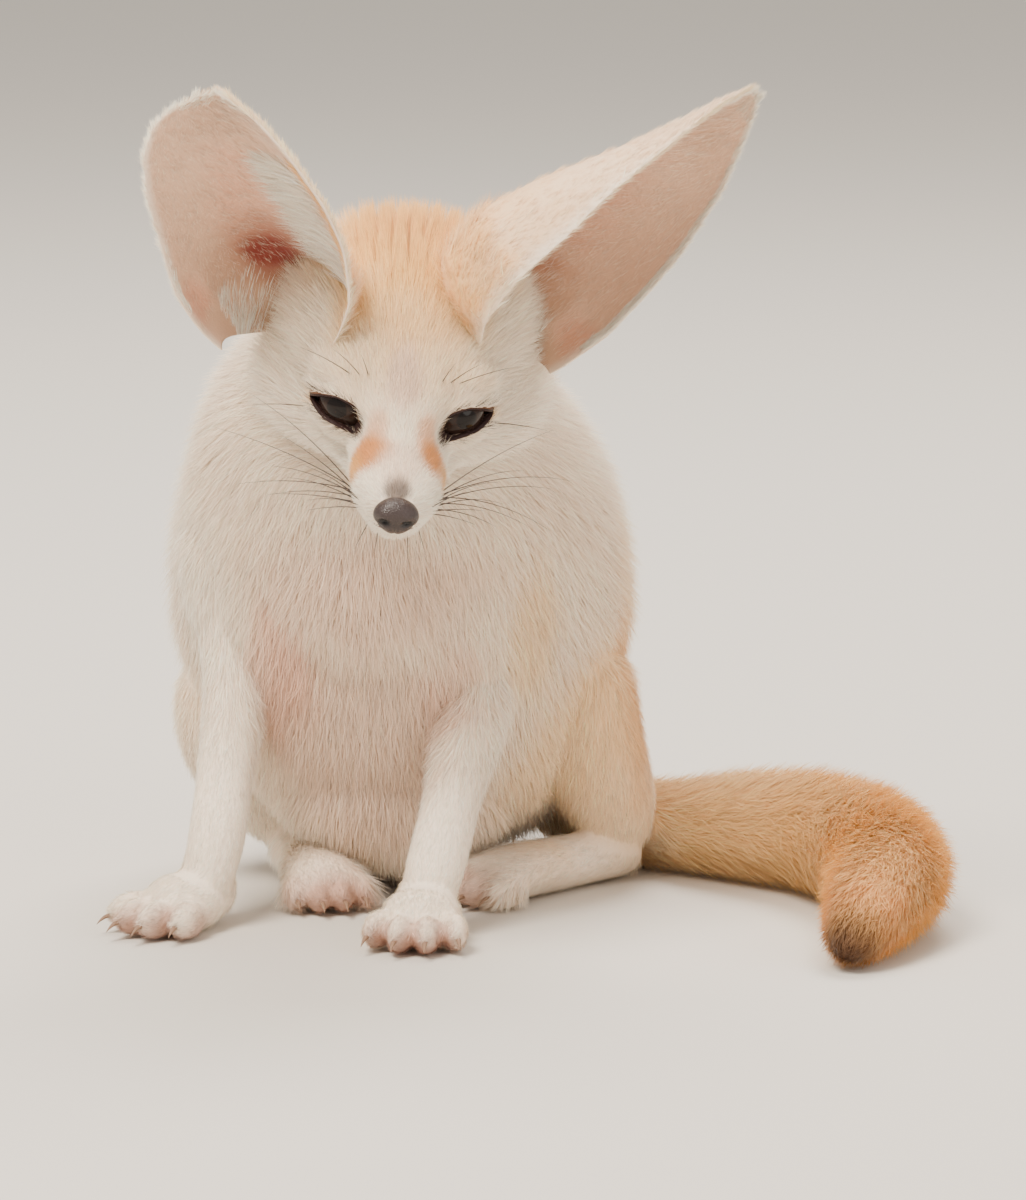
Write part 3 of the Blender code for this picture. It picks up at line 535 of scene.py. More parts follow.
# The coat over each form: hair length and lift in degrees from its first station to its last, the hair's
# width, colours along the form, how many tufts it gets, and a fixed lie where it doesn't follow the form
limbCoats = {
    "foreleg": {"hair": (9, 5, 4, 3.6), "lift": (13, 9, 9), "width": 0.3, "tint": ("white",), "share": 1.3},
    "thigh": {"hair": (10, 9, 7), "lift": (13, 11), "width": 0.38, "share": 1.0},
    "shank": {"hair": (7, 6, 4), "lift": (11, 10), "width": 0.34, "share": 1.2, "lie": (0, 0.45, -1)},
    "foot": {"hair": (4, 3.4, 3), "lift": (10, 12), "width": 0.28, "tint": ("white",), "share": 1.6},
    "paw": {"hair": (3.8, 3.2), "lift": (10, 13), "width": 0.28, "tint": ("white",), "share": 1.8},
}
sideCoats = {
    "thighLeft": {"tint": ("sand",), "lie": (-0.2, 0.35, -1)}, "shankLeft": {"tint": ("sand", "cream")},
    "thighRight": {"tint": ("cream",), "lie": (0.2, 0.35, -1)}, "shankRight": {"tint": ("white",)},
}
coatParts = {
    "torso": {
        "hair": (11, 13, 12, 9), "lift": (23, 25, 22, 14), "width": 0.4, "tint": ("milk",), "share": 1.0,
    },
    "neck": {"hair": (10, 12), "lift": (20, 21), "width": 0.38, "tint": ("milk",), "share": 1.1},
}
for limb, limbCoat in limbCoats.items():
    for limbSide in ("Left", "Right"):
        coatParts[limb + limbSide] = {**limbCoat, **sideCoats.get(limb + limbSide, {})}
coatParts.update({
    "tail": {
        "hair": (11, 13, 15, 16, 16, 14, 9, 4), "lift": (14, 16, 18, 19, 18), "width": 0.4, "share": 1.6,
        "tint": (*["tailPeach"] * 3, *["tailGold"] * 4, *["tailAmber"] * 5, "amber", "umber", "umber"),
    },
    "skull": {
        "hair": (1.6, 3, 6, 9), "lift": (12, 16, 26, 30), "width": 0.3, "tint": ("white", "cream"),
        "share": 3.0,
    },
    "ruff": {"hair": (5, 9, 12), "lift": (14, 18), "width": 0.36, "tint": ("white",), "share": 2.0},
})
coatFocus = 2.6


# Dictionaries of arrays as one
def stacked(parts):
    return {key: np.concatenate([part[key] for part in parts]) for key in parts[0]}


# The stations that lead the coat over every form, each with its reach and what the coat is like there
def coatStations():
    paths = {name: (drawnIn(rows, 0), (1, 0, 0)) for name, rows in bodyForms.items()}
    paths["tail"] = (tailFlesh(0.7), (0, 0, 1))
    for name in ("skull", "ruff"):
        rows = drawnIn(headForms[name], 0)
        rows[:, :3] = fromHead(rows[:, :3])
        paths[name] = (rows, headTurn[:, 0])
    for side in ("Left", "Right"):
        wrist, heading = pawForm["wrists"][side]
        ahead = rotation("z", -heading) @ np.array([0, -1.0, 0])
        start = np.array([*wrist, 12.0]) - ahead * 6
        rows = [(*(start + ahead * reach), 11, 9) for reach in (0, 10, 20, 30)]
        paths["paw" + side] = (np.array(rows), np.cross(ahead, (0, 0, 1)))
        heel, toes, ahead, across = footAxes(side)
        rows = [(*(heel + (toes - heel) * share)[:2], 9, 10, 9) for share in (0, 0.33, 0.66, 1)]
        paths["foot" + side] = (np.array(rows, float), across)
    found = []
    for part, (name, look) in enumerate(coatParts.items()):
        rows, lateral = paths[name]
        count = max(4 * (len(rows) - 1) + 1, 9)
        rows = smoothRows(rows, count)
        along, side, up = ringAxes(rows, lateral)
        place = np.linspace(0, 1, count)
        spread = lambda values: np.interp(place, np.linspace(0, 1, len(values)), values)
        tints = np.array([linear(tint) for tint in look["tint"]])
        found.append({
            "centre": rows[:, :3], "reach": (rows[:, 3] + rows[:, 4]) / 2, "side": side, "up": up,
            "along": unit(np.tile(look["lie"], (count, 1))) if "lie" in look else along,
            "hair": spread(look["hair"]), "lift": spread(look["lift"]),
            "width": np.full(count, look["width"]), "share": np.full(count, look["share"]),
            "tint": np.stack([spread(tone) for tone in tints.T], 1),
            "part": np.full(count, part), "place": place,
        })
    return stacked(found)


# What the coat is like at each point: the stations' values, weighted by exp(-focus * (distance / reach)^2)
def readCoat(points):
    stations = coatStations()
    keys = ("along", "hair", "lift", "width", "share", "tint", "place")
    table = np.column_stack([stations[key] for key in keys])
    parts = np.eye(len(coatParts))[stations["part"]]
    mixed, owned, best = [], [], []
    for some in np.array_split(points, max(1, len(points) // 8000)):
        gap = np.linalg.norm(some[:, None] - stations["centre"][None], axis=2) / stations["reach"]
        power = -coatFocus * gap**2
        weight = np.exp(power - power.max(1, keepdims=True))
        weight /= weight.sum(1, keepdims=True)
        mixed.append(weight @ table)
        owned.append(weight @ parts)
        best.append(gap.argmin(1))
    mixed, owned, best = np.concatenate(mixed), np.concatenate(owned), np.concatenate(best)
    out = points - stations["centre"][best]
    angle = np.arctan2((out * stations["up"][best]).sum(1), (out * stations["side"][best]).sum(1))
    return {
        "flow": mixed[:, :3], "hair": mixed[:, 3], "lift": mixed[:, 4], "width": mixed[:, 5],
        "share": mixed[:, 6], "tint": mixed[:, 7:10], "parts": owned, "part": stations["part"][best],
        "turn": angle / (2 * math.pi) + 0.5, "place": stations["place"][best],
    }


# Soft patches of colour, some of them painted shade: frame, centre, half sizes, colour and strength
marks = [
    ("body", (-34, 78, 104), (66, 50, 82), "fawn", 0.9),
    ("body", (-34, 34, 152), (42, 34, 30), "fawn", 0.8),
    ("body", (30, 34, 96), (22, 30, 40), "sand", 0.8),
    ("body", (4, -16, 84), (8, 14, 24), "sand", 0.7),
    ("body", (36, 22, 60), (15, 20, 32), "fawn", 0.9),
    ("body", (14, 6, 46), (22, 18, 36), "sand", 0.75),
    # painted shadow of the head on the chest, and painted shade on the belly set back between the forelegs
    ("body", (-40, -30, 100), (34, 24, 18), "shade", 0.7),
    ("body", (-40, -12, 52), (30, 24, 44), "shade", 0.75),
    # pink inside the forelegs: partly the pinker skin there, partly painted shade in the armpits
    ("body", (-62, -8, 76), (12, 22, 24), "pink", 0.5),
    ("body", (-18, -6, 72), (12, 20, 24), "pink", 0.45),
    ("body", (-27, -66, 3), (15, 12, 7), "deepPink", 0.75),
    ("body", (-97, -45, 3), (15, 13, 7), "deepPink", 0.7),
    ("body", (-50, -20, 5), (17, 15, 9), "deepPink", 0.7),
    ("body", (-16, -8, 5), (15, 13, 9), "deepPink", 0.6),
    ("head", (0, 30, 32), (25, 28, 22), "crown", 1.0),
    ("head", (0, 36, 36), (25, 20, 17), "orange", 0.95),
    ("head", (0, 14, 24), (20, 18, 14), "crown", 0.75),
    ("head", (0, 5, 16), (24, 15, 15), "sand", 0.6),
    # two thin lines of painted shade for the furrow between the brows
    ("head", (-3, -3, 12), (1.2, 6, 5), "ash", 0.2),
    ("head", (2.4, -4, 12), (1.2, 6, 5), "ash", 0.2),
    ("head", (0, -4, 13), (5, 10, 9), "shade", 0.8),
    ("head", (-5.8, -14.5, 4), (3.4, 6, 4), "rust", 0.45),
    ("head", (-9, -20, 0), (7, 8, 6.5), "rust", 0.95),
    ("head", (-12.8, -22, -4.5), (4.6, 5.5, 4), "orange", 0.85),
    ("head", (6.2, -14.5, 4), (3.2, 6, 4), "rust", 0.55),
    ("head", (9.2, -20.5, 0.5), (5, 7, 5.5), "rust", 0.95),
    ("head", (13, -21, -6), (4, 5, 4.5), "orange", 0.85),
    ("head", (0, -34, -2.2), (3.6, 6.0, 3.4), "ash", 0.85),
    ("head", (0, -26, 0), (7, 7, 4), "shade", 0.5),
    ("head", (-9.5, -6.5, -3), (2.4, 4, 2.4), "brown", 0.6),
    ("head", (9.5, -6.5, -3), (2.4, 4, 2.4), "brown", 0.6),
    ("head", (-27, 5, -1), (6, 5, 3), "golden", 0.5),
    ("head", (27, 5, -1), (6, 5, 3), "golden", 0.5),
]


# The coat's colour at each point, from the forms' tints and the patches, whose edges waver
def markings(points, tint):
    colour = tint.copy()
    local = toHead(points)
    waver = waviness(points, 14, 3) * 0.22
    for space, centre, half, name, strength in marks:
        at = local if space == "head" else points
        out = np.linalg.norm((at - centre) / half, axis=1) + waver
        colour = towards(colour, name, strength * (1 - smoothStep(0.45, 1.25, out)))
    colour = colour * (1 + 0.04 * waviness(points, 30, 5))[:, None]
    for side in (-1, 1):
        out = openingAt(local, side, 14)
        colour = towards(colour, "lidBrown", 1 - smoothStep(*eyeForm["darkSkin"], out))
    return colour


# Writes one colour for each vertex
def paint(mesh, colours):
    layer = mesh.color_attributes.new("markings", "FLOAT_COLOR", "POINT")
    rgba = np.column_stack([np.clip(colours, 0, 1), np.ones(len(colours))])
    layer.data.foreach_set("color", rgba.astype(np.float32).ravel())


# Roots spread over triangles in proportion to area times share, with a place in each triangle
def scatter(points, triangles, share, count, seed):
    dice = np.random.default_rng(seed)
    corners = points[triangles]
    area = np.linalg.norm(np.cross(corners[:, 1] - corners[:, 0], corners[:, 2] - corners[:, 0]), axis=1)
    weight = np.cumsum(area * share[triangles].mean(1))
    at = (np.arange(count) + dice.random(count)) / count * weight[-1]
    face = np.minimum(np.searchsorted(weight, at), len(triangles) - 1)
    u, v = dice.random(count), dice.random(count)
    over = u + v > 1
    u, v = np.where(over, 1 - u, u), np.where(over, 1 - v, v)
    mix = np.stack([1 - u - v, u, v], 1)[:, :, None]
    return face, mix


# Values at vertices blended to the roots
def blended(values, triangles, face, mix):
    return (values[triangles[face]] * mix).sum(1)


# Ranges and shares of the drawn values, sizes in millimetres, and each tuft's four faces and patch of the
# map, by its left, ridge and right root points and its tip
tuftForm = {
    "length": (0.7, 1.15), "lift": (0.5, 1.65), "broad": (0.75, 1.2), "rootWidth": 0.85, "thickness": 0.3,
    "sunk": 0.35, "sunkShare": 0.07, "sway": 0.26, "curl": 0.10, "leave": 1.5, "droop": 0.6,
    # the roots are drawn a little darker, partly for the darker undercoat and partly as painted shade deep in
    # the coat, and the tips lighter as painted light through the hairs' ends
    "roundness": 0.25, "tilt": 0.12, "rootUndercoatAndShade": 0.93, "tipPaintedLight": 1.03, "variation": 0.12,
    "warmth": 0.02, "warmTint": (0.6, 0, -1.4), "floor": 0.35, "waver": 0.35, "waverReach": 2.3,
    "faces": [(0, 1, 3), (1, 2, 3), (2, 0, 3), (0, 2, 1)], "underside": 2,
    "patch": 0.003, "patchAt": [(0, 0), (0.5, 0), (1, 0), (0.5, 1)],
}


# Tufts as closed spikes of four triangles: the tip is the root moved along the lie by length * cos(lift) and
# off the skin by length * sin(lift), less the droop, and then leans by the coat's pull to its clump's middle
def growTufts(name, roots, coat, seed, clump, material):
    dice = np.random.default_rng(seed)
    count = len(roots["at"])
    normal = unit(roots["normal"])
    side = unit(np.cross(coat["flow"], normal))
    flow = unit(np.cross(normal, side) + side * dice.normal(0, tuftForm["sway"], count)[:, None])
    side = unit(np.cross(flow, normal))
    length = coat["hair"] * dice.uniform(*tuftForm["length"], count)
    lift = np.radians(coat["lift"]) * dice.uniform(*tuftForm["lift"], count)
    curl = length * dice.normal(0, tuftForm["curl"], count)
    sunk = np.minimum(tuftForm["sunk"], tuftForm["sunkShare"] * length)
    root = roots["at"] - normal * sunk[:, None]
    rise = length * np.sin(lift) * (tuftForm["leave"] - tuftForm["droop"])
    tip = root + flow * (length * np.cos(lift))[:, None] + normal * rise[:, None] + side * curl[:, None]
    waver = tuftForm["waver"] * waviness(roots["at"], clump * tuftForm["waverReach"], seed)
    cell = np.floor(roots["at"] / clump + waver[:, None]).astype(int)
    _, group = np.unique(cell, axis=0, return_inverse=True)
    group = group.ravel()
    middle = np.stack([np.bincount(group, tip[:, k]) for k in range(3)], 1) / np.bincount(group)[:, None]
    tip = tip + (middle[group] - tip) * coat["pull"][:, None]
    along = unit(tip - root)
    across = unit(np.cross(along, normal))
    above = np.cross(across, along)
    half = (coat["width"] * dice.uniform(*tuftForm["broad"], count) / 2 * tuftForm["rootWidth"])[:, None]
    ridge = root + above * half * 2 * tuftForm["thickness"]
    points = np.stack([root - across * half, ridge, root + across * half, tip], 1)
    points[..., 2] = np.maximum(points[..., 2], tuftForm["floor"])
    template = np.array(tuftForm["faces"])
    faces = np.arange(count)[:, None, None] * 4 + template
    tufts = meshObject(name, points.reshape(-1, 3), [faces.reshape(-1, 3)])
    mesh = tufts.data
    turned = np.stack([-across, above, across, above], 1) * tuftForm["roundness"]
    tilt = dice.normal(0, tuftForm["tilt"], (count, 1, 3))
    normals = unit(normal[:, None] * (1 - tuftForm["roundness"]) + turned + tilt)[:, template]
    # the undersides are shaded as seen from below
    normals[:, tuftForm["underside"]] = unit(along * 0.5 - above)[:, None]
    mesh.normals_split_custom_set(normals.reshape(-1, 3))
    # roots darker and tips lighter: partly the undercoat's tone, partly painted shade at the roots and
    # painted light through the tips; the variation is each tuft's own tone
    shade = np.array([tuftForm["rootUndercoatAndShade"]] * 3 + [tuftForm["tipPaintedLight"]])
    shade = shade * (1 + dice.normal(0, tuftForm["variation"], count))[:, None]
    warm = 1 + dice.normal(0, tuftForm["warmth"], (count, 1, 1)) * np.array(tuftForm["warmTint"])
    paint(mesh, (coat["colour"][:, None] * shade[..., None] * warm).reshape(-1, 3))
    patch = np.array(tuftForm["patchAt"]) * tuftForm["patch"]
    uv = roots["uv"][:, None] * (1 - tuftForm["patch"]) + patch
    layer = mesh.uv_layers.new(name="OFBake")
    layer.uv.foreach_set("vector", uv[:, template].reshape(-1, 2).astype(np.float32).ravel())
    mesh.materials.append(material)
    print(name, count, "tufts", len(mesh.polygons), "triangles")


headCoat = {
    # distance back from the eyes, hair length and lift there
    "back": (-40, -32, -20, -6, 8, 22, 40, 60), "hair": (2.2, 3.0, 3.4, 4.2, 6.5, 12, 16, 10.5),
    "lift": (24, 23, 19, 17, 20, 40, 54, 26), "width": (0.22, 0.23, 0.24, 0.26, 0.3, 0.36, 0.4, 0.42),
    "nose": (0, -38, -7), "eyeSpread": 11, "eyePush": 1.1,
    # the cheeks' hair is longer by this share, from this far out and this low
    "cheekLonger": 0.55, "cheekOut": (18, 32), "cheekLow": (8, -4),
    # the crown's hair leans together in clumps
    "crownAt": (0, 32, 36), "crownSize": (24, 20, 18), "pull": 0.15, "crownPull": 0.7,
    "dense": ((-35, -10, 20, 50), (5.5, 3.6, 2.4, 1.6)),
}


# Hair on the head lies back from the nose, parts round the eyes, and grows longer towards the neck
def combHead(points, coat):
    local = toHead(points)
    owned = coat["parts"] @ np.isin(list(coatParts), ("skull", "ruff")).astype(float)
    flow = unit(local - headCoat["nose"])
    for side in (-1, 1):
        away = local - mirrored(eyeForm["at"], side)
        far = np.linalg.norm(away, axis=1)
        push = headCoat["eyePush"] * np.exp(-((far / headCoat["eyeSpread"]) ** 2))
        flow = flow + unit(away) * push[:, None]
    flow = flow @ headTurn.T
    cheek = smoothStep(*headCoat["cheekOut"], np.abs(local[:, 0]))
    cheek = cheek * smoothStep(*headCoat["cheekLow"], local[:, 2])
    for key in ("hair", "lift", "width"):
        value = np.interp(local[:, 1], headCoat["back"], headCoat[key])
        if key == "hair":
            value = value * (1 + headCoat["cheekLonger"] * cheek)
        coat[key] = coat[key] * (1 - owned) + value * owned
    coat["flow"] = coat["flow"] * (1 - owned)[:, None] + unit(flow) * owned[:, None]
    crown = np.linalg.norm((local - headCoat["crownAt"]) / headCoat["crownSize"], axis=1)
    coat["pull"] = headCoat["pull"] + headCoat["crownPull"] * np.exp(-(crown**2)) * owned
    dense = np.interp(local[:, 1], *headCoat["dense"])
    coat["share"] = coat["share"] * (1 - owned) + owned * dense
    return coat


# Each material's shader values and its texture: node, output and inputs. The texture scales the colour
# between two values as "shade", or raises the surface as "bump" by a strength and a height in metres
skinGrain = {"texture": ("ShaderNodeTexNoise", "Fac", {"Scale": 900, "Detail": 4}), "bump": (0.5, 0.0006)}
materialLooks = {
    "softFur": {
        "shader": {
            "Roughness": 0.72, "Specular IOR Level": 0.25, "Sheen Weight": 0.25, "Sheen Roughness": 0.5,
        },
        "texture": ("ShaderNodeTexNoise", "Fac", {"Scale": 260, "Detail": 3}), "shade": (0.93, 1.05),
    },
    "shortCoatedSkin": {"shader": {"Roughness": 0.8, "Specular IOR Level": 0.2}, **skinGrain},
    "lidSkin": {"shader": {"Roughness": 0.42, "Specular IOR Level": 0.2}, **skinGrain},
    "earLining": {"shader": {"Roughness": 0.6, "Specular IOR Level": 0.2, "Sheen Weight": 0.3}, **skinGrain},
    "noseLeather": {
        "shader": {"Roughness": 0.38, "Specular IOR Level": 0.5},
        "texture": ("ShaderNodeTexVoronoi", "Distance", {"Scale": 1700}), "bump": (0.7, 0.00025),
    },
    "wetEye": {"shader": {"Roughness": 0.12, "Specular IOR Level": 0.22}},
}


# A material coloured by the markings, made once for each name
def materialNamed(name):
    material = bpy.data.materials.get(name)
    if material:
        return material
    look = materialLooks[name]
    material = bpy.data.materials.new(name)
    material.use_nodes = True
    nodes, links = material.node_tree.nodes, material.node_tree.links
    shader = nodes["Principled BSDF"]
    for entry, value in look["shader"].items():
        shader.inputs[entry].default_value = value
    markingsNode = nodes.new("ShaderNodeVertexColor")
    markingsNode.layer_name = "markings"
    colour = markingsNode.outputs["Color"]
    if "texture" in look:
        kind, output, settings = look["texture"]
        texture = nodes.new(kind)
        if kind == "ShaderNodeTexVoronoi":
            texture.feature = "DISTANCE_TO_EDGE"
        for entry, value in settings.items():
            texture.inputs[entry].default_value = value
        links.new(nodes.new("ShaderNodeTexCoord").outputs["Object"], texture.inputs["Vector"])
    if "shade" in look:
        spread = nodes.new("ShaderNodeMapRange")
        spread.inputs["To Min"].default_value, spread.inputs["To Max"].default_value = look["shade"]
        links.new(texture.outputs[output], spread.inputs["Value"])
        mix = nodes.new("ShaderNodeVectorMath")
        mix.operation = "SCALE"
        links.new(colour, mix.inputs[0])
        links.new(spread.outputs["Result"], mix.inputs["Scale"])
        colour = mix.outputs["Vector"]
    if "bump" in look:
        bump = nodes.new("ShaderNodeBump")
        bump.inputs["Strength"].default_value, bump.inputs["Distance"].default_value = look["bump"]
        links.new(texture.outputs[output], bump.inputs["Height"])
        links.new(bump.outputs["Normal"], shader.inputs["Normal"])
    links.new(colour, shader.inputs["Base Color"])
    return material


# A material of one plain colour in linear light
def plainMaterial(name, colour, roughness):
    material = bpy.data.materials.new(name)
    material.use_nodes = True
    shader = material.node_tree.nodes["Principled BSDF"]
    shader.inputs["Base Color"].default_value = (*colour, 1)
    shader.inputs["Roughness"].default_value = roughness
    return material


# The forms whose tufts each coat piece holds, their number, the piece's zone of them and the clumps' size
coatPieces = {
    "coatFace": {"parts": ("skull", "ruff"), "count": 49000, "zone": "face", "clump": 2.4},
    "coatHead": {"parts": ("skull", "ruff"), "count": 36000, "zone": "nape"},
    "coatChest": {"parts": ("torso", "neck"), "count": 48000, "zone": "front"},
    "coatBack": {"parts": ("torso", "neck"), "count": 49000, "zone": "back"},
    "coatForelegs": {"parts": ("forelegLeft", "forelegRight", "pawLeft", "pawRight"), "count": 38000},
    "coatHindlegs": {
        "parts": ("thighLeft", "thighRight", "shankLeft", "shankRight", "footLeft", "footRight"),
        "count": 40000,
    },
    "coatTailRoot": {"parts": ("tail",), "count": 18000, "zone": "root"},
    "coatTailBrush": {"parts": ("tail",), "count": 28000, "zone": "brush"},
}
# Where the face's piece ends behind the eyes, the back's begins at heights of the body, and the brush's
# begins along the tail
zoneEdges = {"face": 9.0, "heights": (20, 90, 150), "back": (30, 14, -8), "brush": 0.45}
skinShade = (0.98, 0.96, 0.94)
usualClump = 4.0


# Whether each point is in a coat piece's own zone
def inZone(zone, points, coat):
    if zone in ("face", "nape"):
        front = toHead(points)[:, 1] < zoneEdges["face"]
        return front if zone == "face" else ~front
    if zone in ("front", "back"):
        behind = points[:, 1] > np.interp(points[:, 2], zoneEdges["heights"], zoneEdges["back"])
        return behind if zone == "back" else ~behind
    if zone in ("root", "brush"):
        far = coat["place"] > zoneEdges["brush"]
        return far if zone == "brush" else ~far
    return np.ones(len(points), bool)


# Spread over 0 to 1, so that each piece's map is filled
def spreadOut(values):
    low, high = np.percentile(values, (0.5, 99.5))
    return np.clip((values - low) / max(high - low, 1e-6), 0, 1)


# An unwrap of the skin: each form gets a strip, with the turn round its path and the place along it
def unwrapRoots(coat, parts):
    names = [list(coatParts).index(name) for name in parts]
    strip = np.searchsorted(np.sort(names), coat["part"]).clip(0, len(names) - 1)
    u = (strip + 0.02 + 0.96 * coat["turn"]) / len(names)
    return np.stack([spreadOut(u), spreadOut(coat["place"])], 1)


# The body's coat: tufts rooted over the skin in proportion to area times the coat's share there, and the
# skin painted with the same markings, a little darker
def makeCoat(skin, material):
    mesh = skin.data
    points, normals, triangles = meshPoints(mesh), meshNormals(mesh), meshTriangles(mesh)
    coat = combHead(points, readCoat(points))
    paint(mesh, markings(points, coat["tint"]) * np.array(skinShade))
    bare = eyeBare(points)
    names = list(coatParts)
    for seed, (name, look) in enumerate(coatPieces.items()):
        belongs = np.isin(coat["part"], [names.index(part) for part in look["parts"]])
        belongs &= inZone(look.get("zone"), points, coat)
        share = np.where(belongs, coat["share"] * bare, 0)
        face, mix = scatter(points, triangles, share, look["count"], 10 + seed)
        roots = {"at": blended(points, triangles, face, mix)}
        roots["normal"] = blended(normals, triangles, face, mix)
        found = {}
        for key in ("flow", "hair", "lift", "width", "tint", "pull"):
            found[key] = blended(coat[key], triangles, face, mix[..., 0] if coat[key].ndim == 1 else mix)
        found["colour"] = markings(roots["at"], found["tint"])
        corner = triangles[face, 0]
        spot = {key: coat[key][corner] for key in ("part", "turn", "place")}
        roots["uv"] = unwrapRoots(spot, look["parts"])
        growTufts(name, roots, found, 30 + seed, look.get("clump", usualClump), material)


# 0 in the eyes' openings and on the nose pad, where no hair grows, and 1 elsewhere
def eyeBare(points):
    local = toHead(points)
    bare = np.ones(len(points))
    for side in (-1, 1):
        bare = np.where(openingAt(local, side, 13) < eyeForm["bare"], 0, bare)
    pad = np.linalg.norm((local - noseForm["at"]) / (np.array(noseForm["size"]) * noseForm["bare"]), axis=1)
    return np.where(pad < 1, 0, bare)


# The nose pad's place and size, and its hollows as shares of that size, each with a depth in millimetres
noseForm = {
    "at": (0, -36.6, -7.6), "size": (6.1, 4.5, 5.0), "bare": 1.02, "narrowing": 0.18,
    "nostril": (0.48, -0.05), "nostrilSize": (0.30, 0.24), "nostrilDepth": 1.9, "nostrilLean": 0.25,
    "slit": (0.78, -0.38), "slitSize": (0.22, 0.09), "slitDepth": 0.8,
    "groove": 0.45, "grooveWidth": 0.09, "grooveEnds": (0.35, -0.1),
    "lobe": 0.35, "lobeAt": (0.55, 0.3), "lobeSize": (0.3, 0.35),
    # the hollows are painted darker by their depth: painted shade in the nostrils, slits and groove
    "tint": (52, 40, 39), "hollowShadeTint": (14, 9, 9), "hollowShadeDepth": 1.2,
}

# The nose pad: a ball narrowed below, with two comma-shaped nostrils, a slit beside each, a swell above each
# and the groove down its middle
def makeNose():
    points, faces = ball((0, 0, 0, 1, 1, 1), 120)
    x, y, z = points.T
    form = noseForm
    x = x * (1 - form["narrowing"] * smoothStep(0.1, -0.9, z))
    lean = form["nostrilLean"] * np.clip(form["nostril"][1] - z, 0, 0.4)
    # each hollow's squared distance from its middle, in its own half sizes
    hole = ((np.abs(x) - form["nostril"][0] - lean) / form["nostrilSize"][0]) ** 2
    hole += ((z - form["nostril"][1]) / form["nostrilSize"][1]) ** 2
    slit = ((np.abs(x) - form["slit"][0]) / form["slitSize"][0]) ** 2
    slit += ((z - form["slit"][1]) / form["slitSize"][1]) ** 2
    swell = ((np.abs(x) - form["lobeAt"][0]) / form["lobeSize"][0]) ** 2
    swell += ((z - form["lobeAt"][1]) / form["lobeSize"][1]) ** 2
    depth = form["nostrilDepth"] * np.exp(-hole * 1.4) + form["slitDepth"] * np.exp(-slit)
    groove = form["groove"] * np.exp(-((x / form["grooveWidth"]) ** 2))
    depth = depth + groove * smoothStep(*form["grooveEnds"], z)
    shaped = np.stack([x, y, z], 1) * form["size"]
    shaped[:, 1] += (depth - form["lobe"] * np.exp(-swell)) * smoothStep(0.1, -0.5, y)
    nose = meshObject("nosePad", fromHead(shaped + form["at"]), faces)
    # painted shade: the nostrils, slits and groove darkened by their depth
    dark = np.clip(depth / form["hollowShadeDepth"], 0, 1)
    paint(nose.data, towards(linear(form["tint"]), form["hollowShadeTint"], dark))
    nose.data.materials.append(materialNamed("noseLeather"))
    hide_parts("nose")


# A strip of faces between rows of points, each row a closed ring if closed
def stripFaces(count, sides, closed=True):
    index = np.arange(count * sides).reshape(count, sides)
    following = np.roll(index, -1, axis=1)
    if not closed:
        index, following = index[:, :-1], following[:, :-1]
    return np.stack([index[:-1], following[:-1], following[1:], index[1:]], -1).reshape(-1, 4)


# The rim of the lids: rings that follow the opening, from inside the eye's pit over the margin to the skin
def makeLids():
    outline = smoothRows(eyeForm["opening"] + eyeForm["opening"][:1], 145)[:-1] - eyeForm["middle"]
    tuck = eyeForm["innerTuck"] * smoothStep(*eyeForm["innerFade"], outline[:, 0])
    rings = []
    for row, (scale, reach) in enumerate(eyeForm["rim"]):
        broad = scale - tuck if row == 0 else np.full(len(outline), scale)
        flat = outline * broad[:, None] + eyeForm["middle"]
        along = flat[:, 0] * eyeForm["stretch"]
        deep = np.sqrt(np.maximum(reach**2 - along**2 - flat[:, 1] ** 2, 1.0))
        rings.append(np.column_stack([flat, deep]))
    rings = np.array(rings)
    sides = rings.shape[1]
    rim = rings.reshape(-1, 3)
    total = len(rim)
    index = np.arange(total).reshape(-1, sides)
    lower, upper = index[0], index[-1]
    faces = stripFaces(*rings.shape[:2])
    lists = [
        faces, faces[:, ::-1] + total,
        np.stack([np.roll(lower, -1), lower, lower + total, np.roll(lower, -1) + total], -1),
        np.stack([upper, np.roll(upper, -1), np.roll(upper, -1) + total, upper + total], -1),
    ]
    tint = np.repeat([linear(tone) for tone in eyeForm["rimTint"]], sides, axis=0)
    for side, name in ((1, "Left"), (-1, "Right")):
        placed = fromHead(fromEye(rim, side))
        under = placed - unit(fromHead(fromEye(rim * 2, side)) - placed) * eyeForm["rimThick"]
        facing = [some[:, ::-1] for some in lists] if side > 0 else lists
        lid = meshObject("lids" + name, np.concatenate([placed, under]), facing)
        paint(lid.data, np.concatenate([tint, tint]))
        lid.data.materials.append(materialNamed("lidSkin"))


earForms = {
    # root in the head's frame, the tip's offset from it, the way the cup opens, how far each half of the
    # cup curls round at the base, the middle and the tip, and how the axis bows at its middle
    "right": {
        "root": (-32, 30, 6), "tip": (-16, -54, 67), "opens": (-0.32, -1.0, 0.0), "curls": (2.3, 1.05, 0.55),
        "bow": (-1, 0, 0),
        "outline": [
            (0.0, 17, 14), (0.12, 22, 18), (0.3, 28, 22), (0.45, 28.5, 23.5), (0.62, 25.5, 24.5),
            (0.78, 19, 23), (0.9, 12.5, 18), (0.97, 7, 10.5), (1.0, 2.5, 3.5),
        ],
    },
    "left": {
        "root": (23.3, 32.7, 9.9), "tip": (69.5, -17, 65.6), "opens": (0.55, -0.64, -0.43),
        "curls": (2.25, 1.94, 1.03), "bow": (-6.8, -0.3, -3.7),
        "outline": [
            (0.0, 22, 14), (0.12, 33, 13.5), (0.3, 35, 16.5), (0.45, 29.5, 18.2), (0.62, 22, 19.2),
            (0.78, 14.5, 17.5), (0.9, 9.2, 10.5), (0.97, 5.8, 5), (1.0, 1.8, 2),
        ],
    },
}
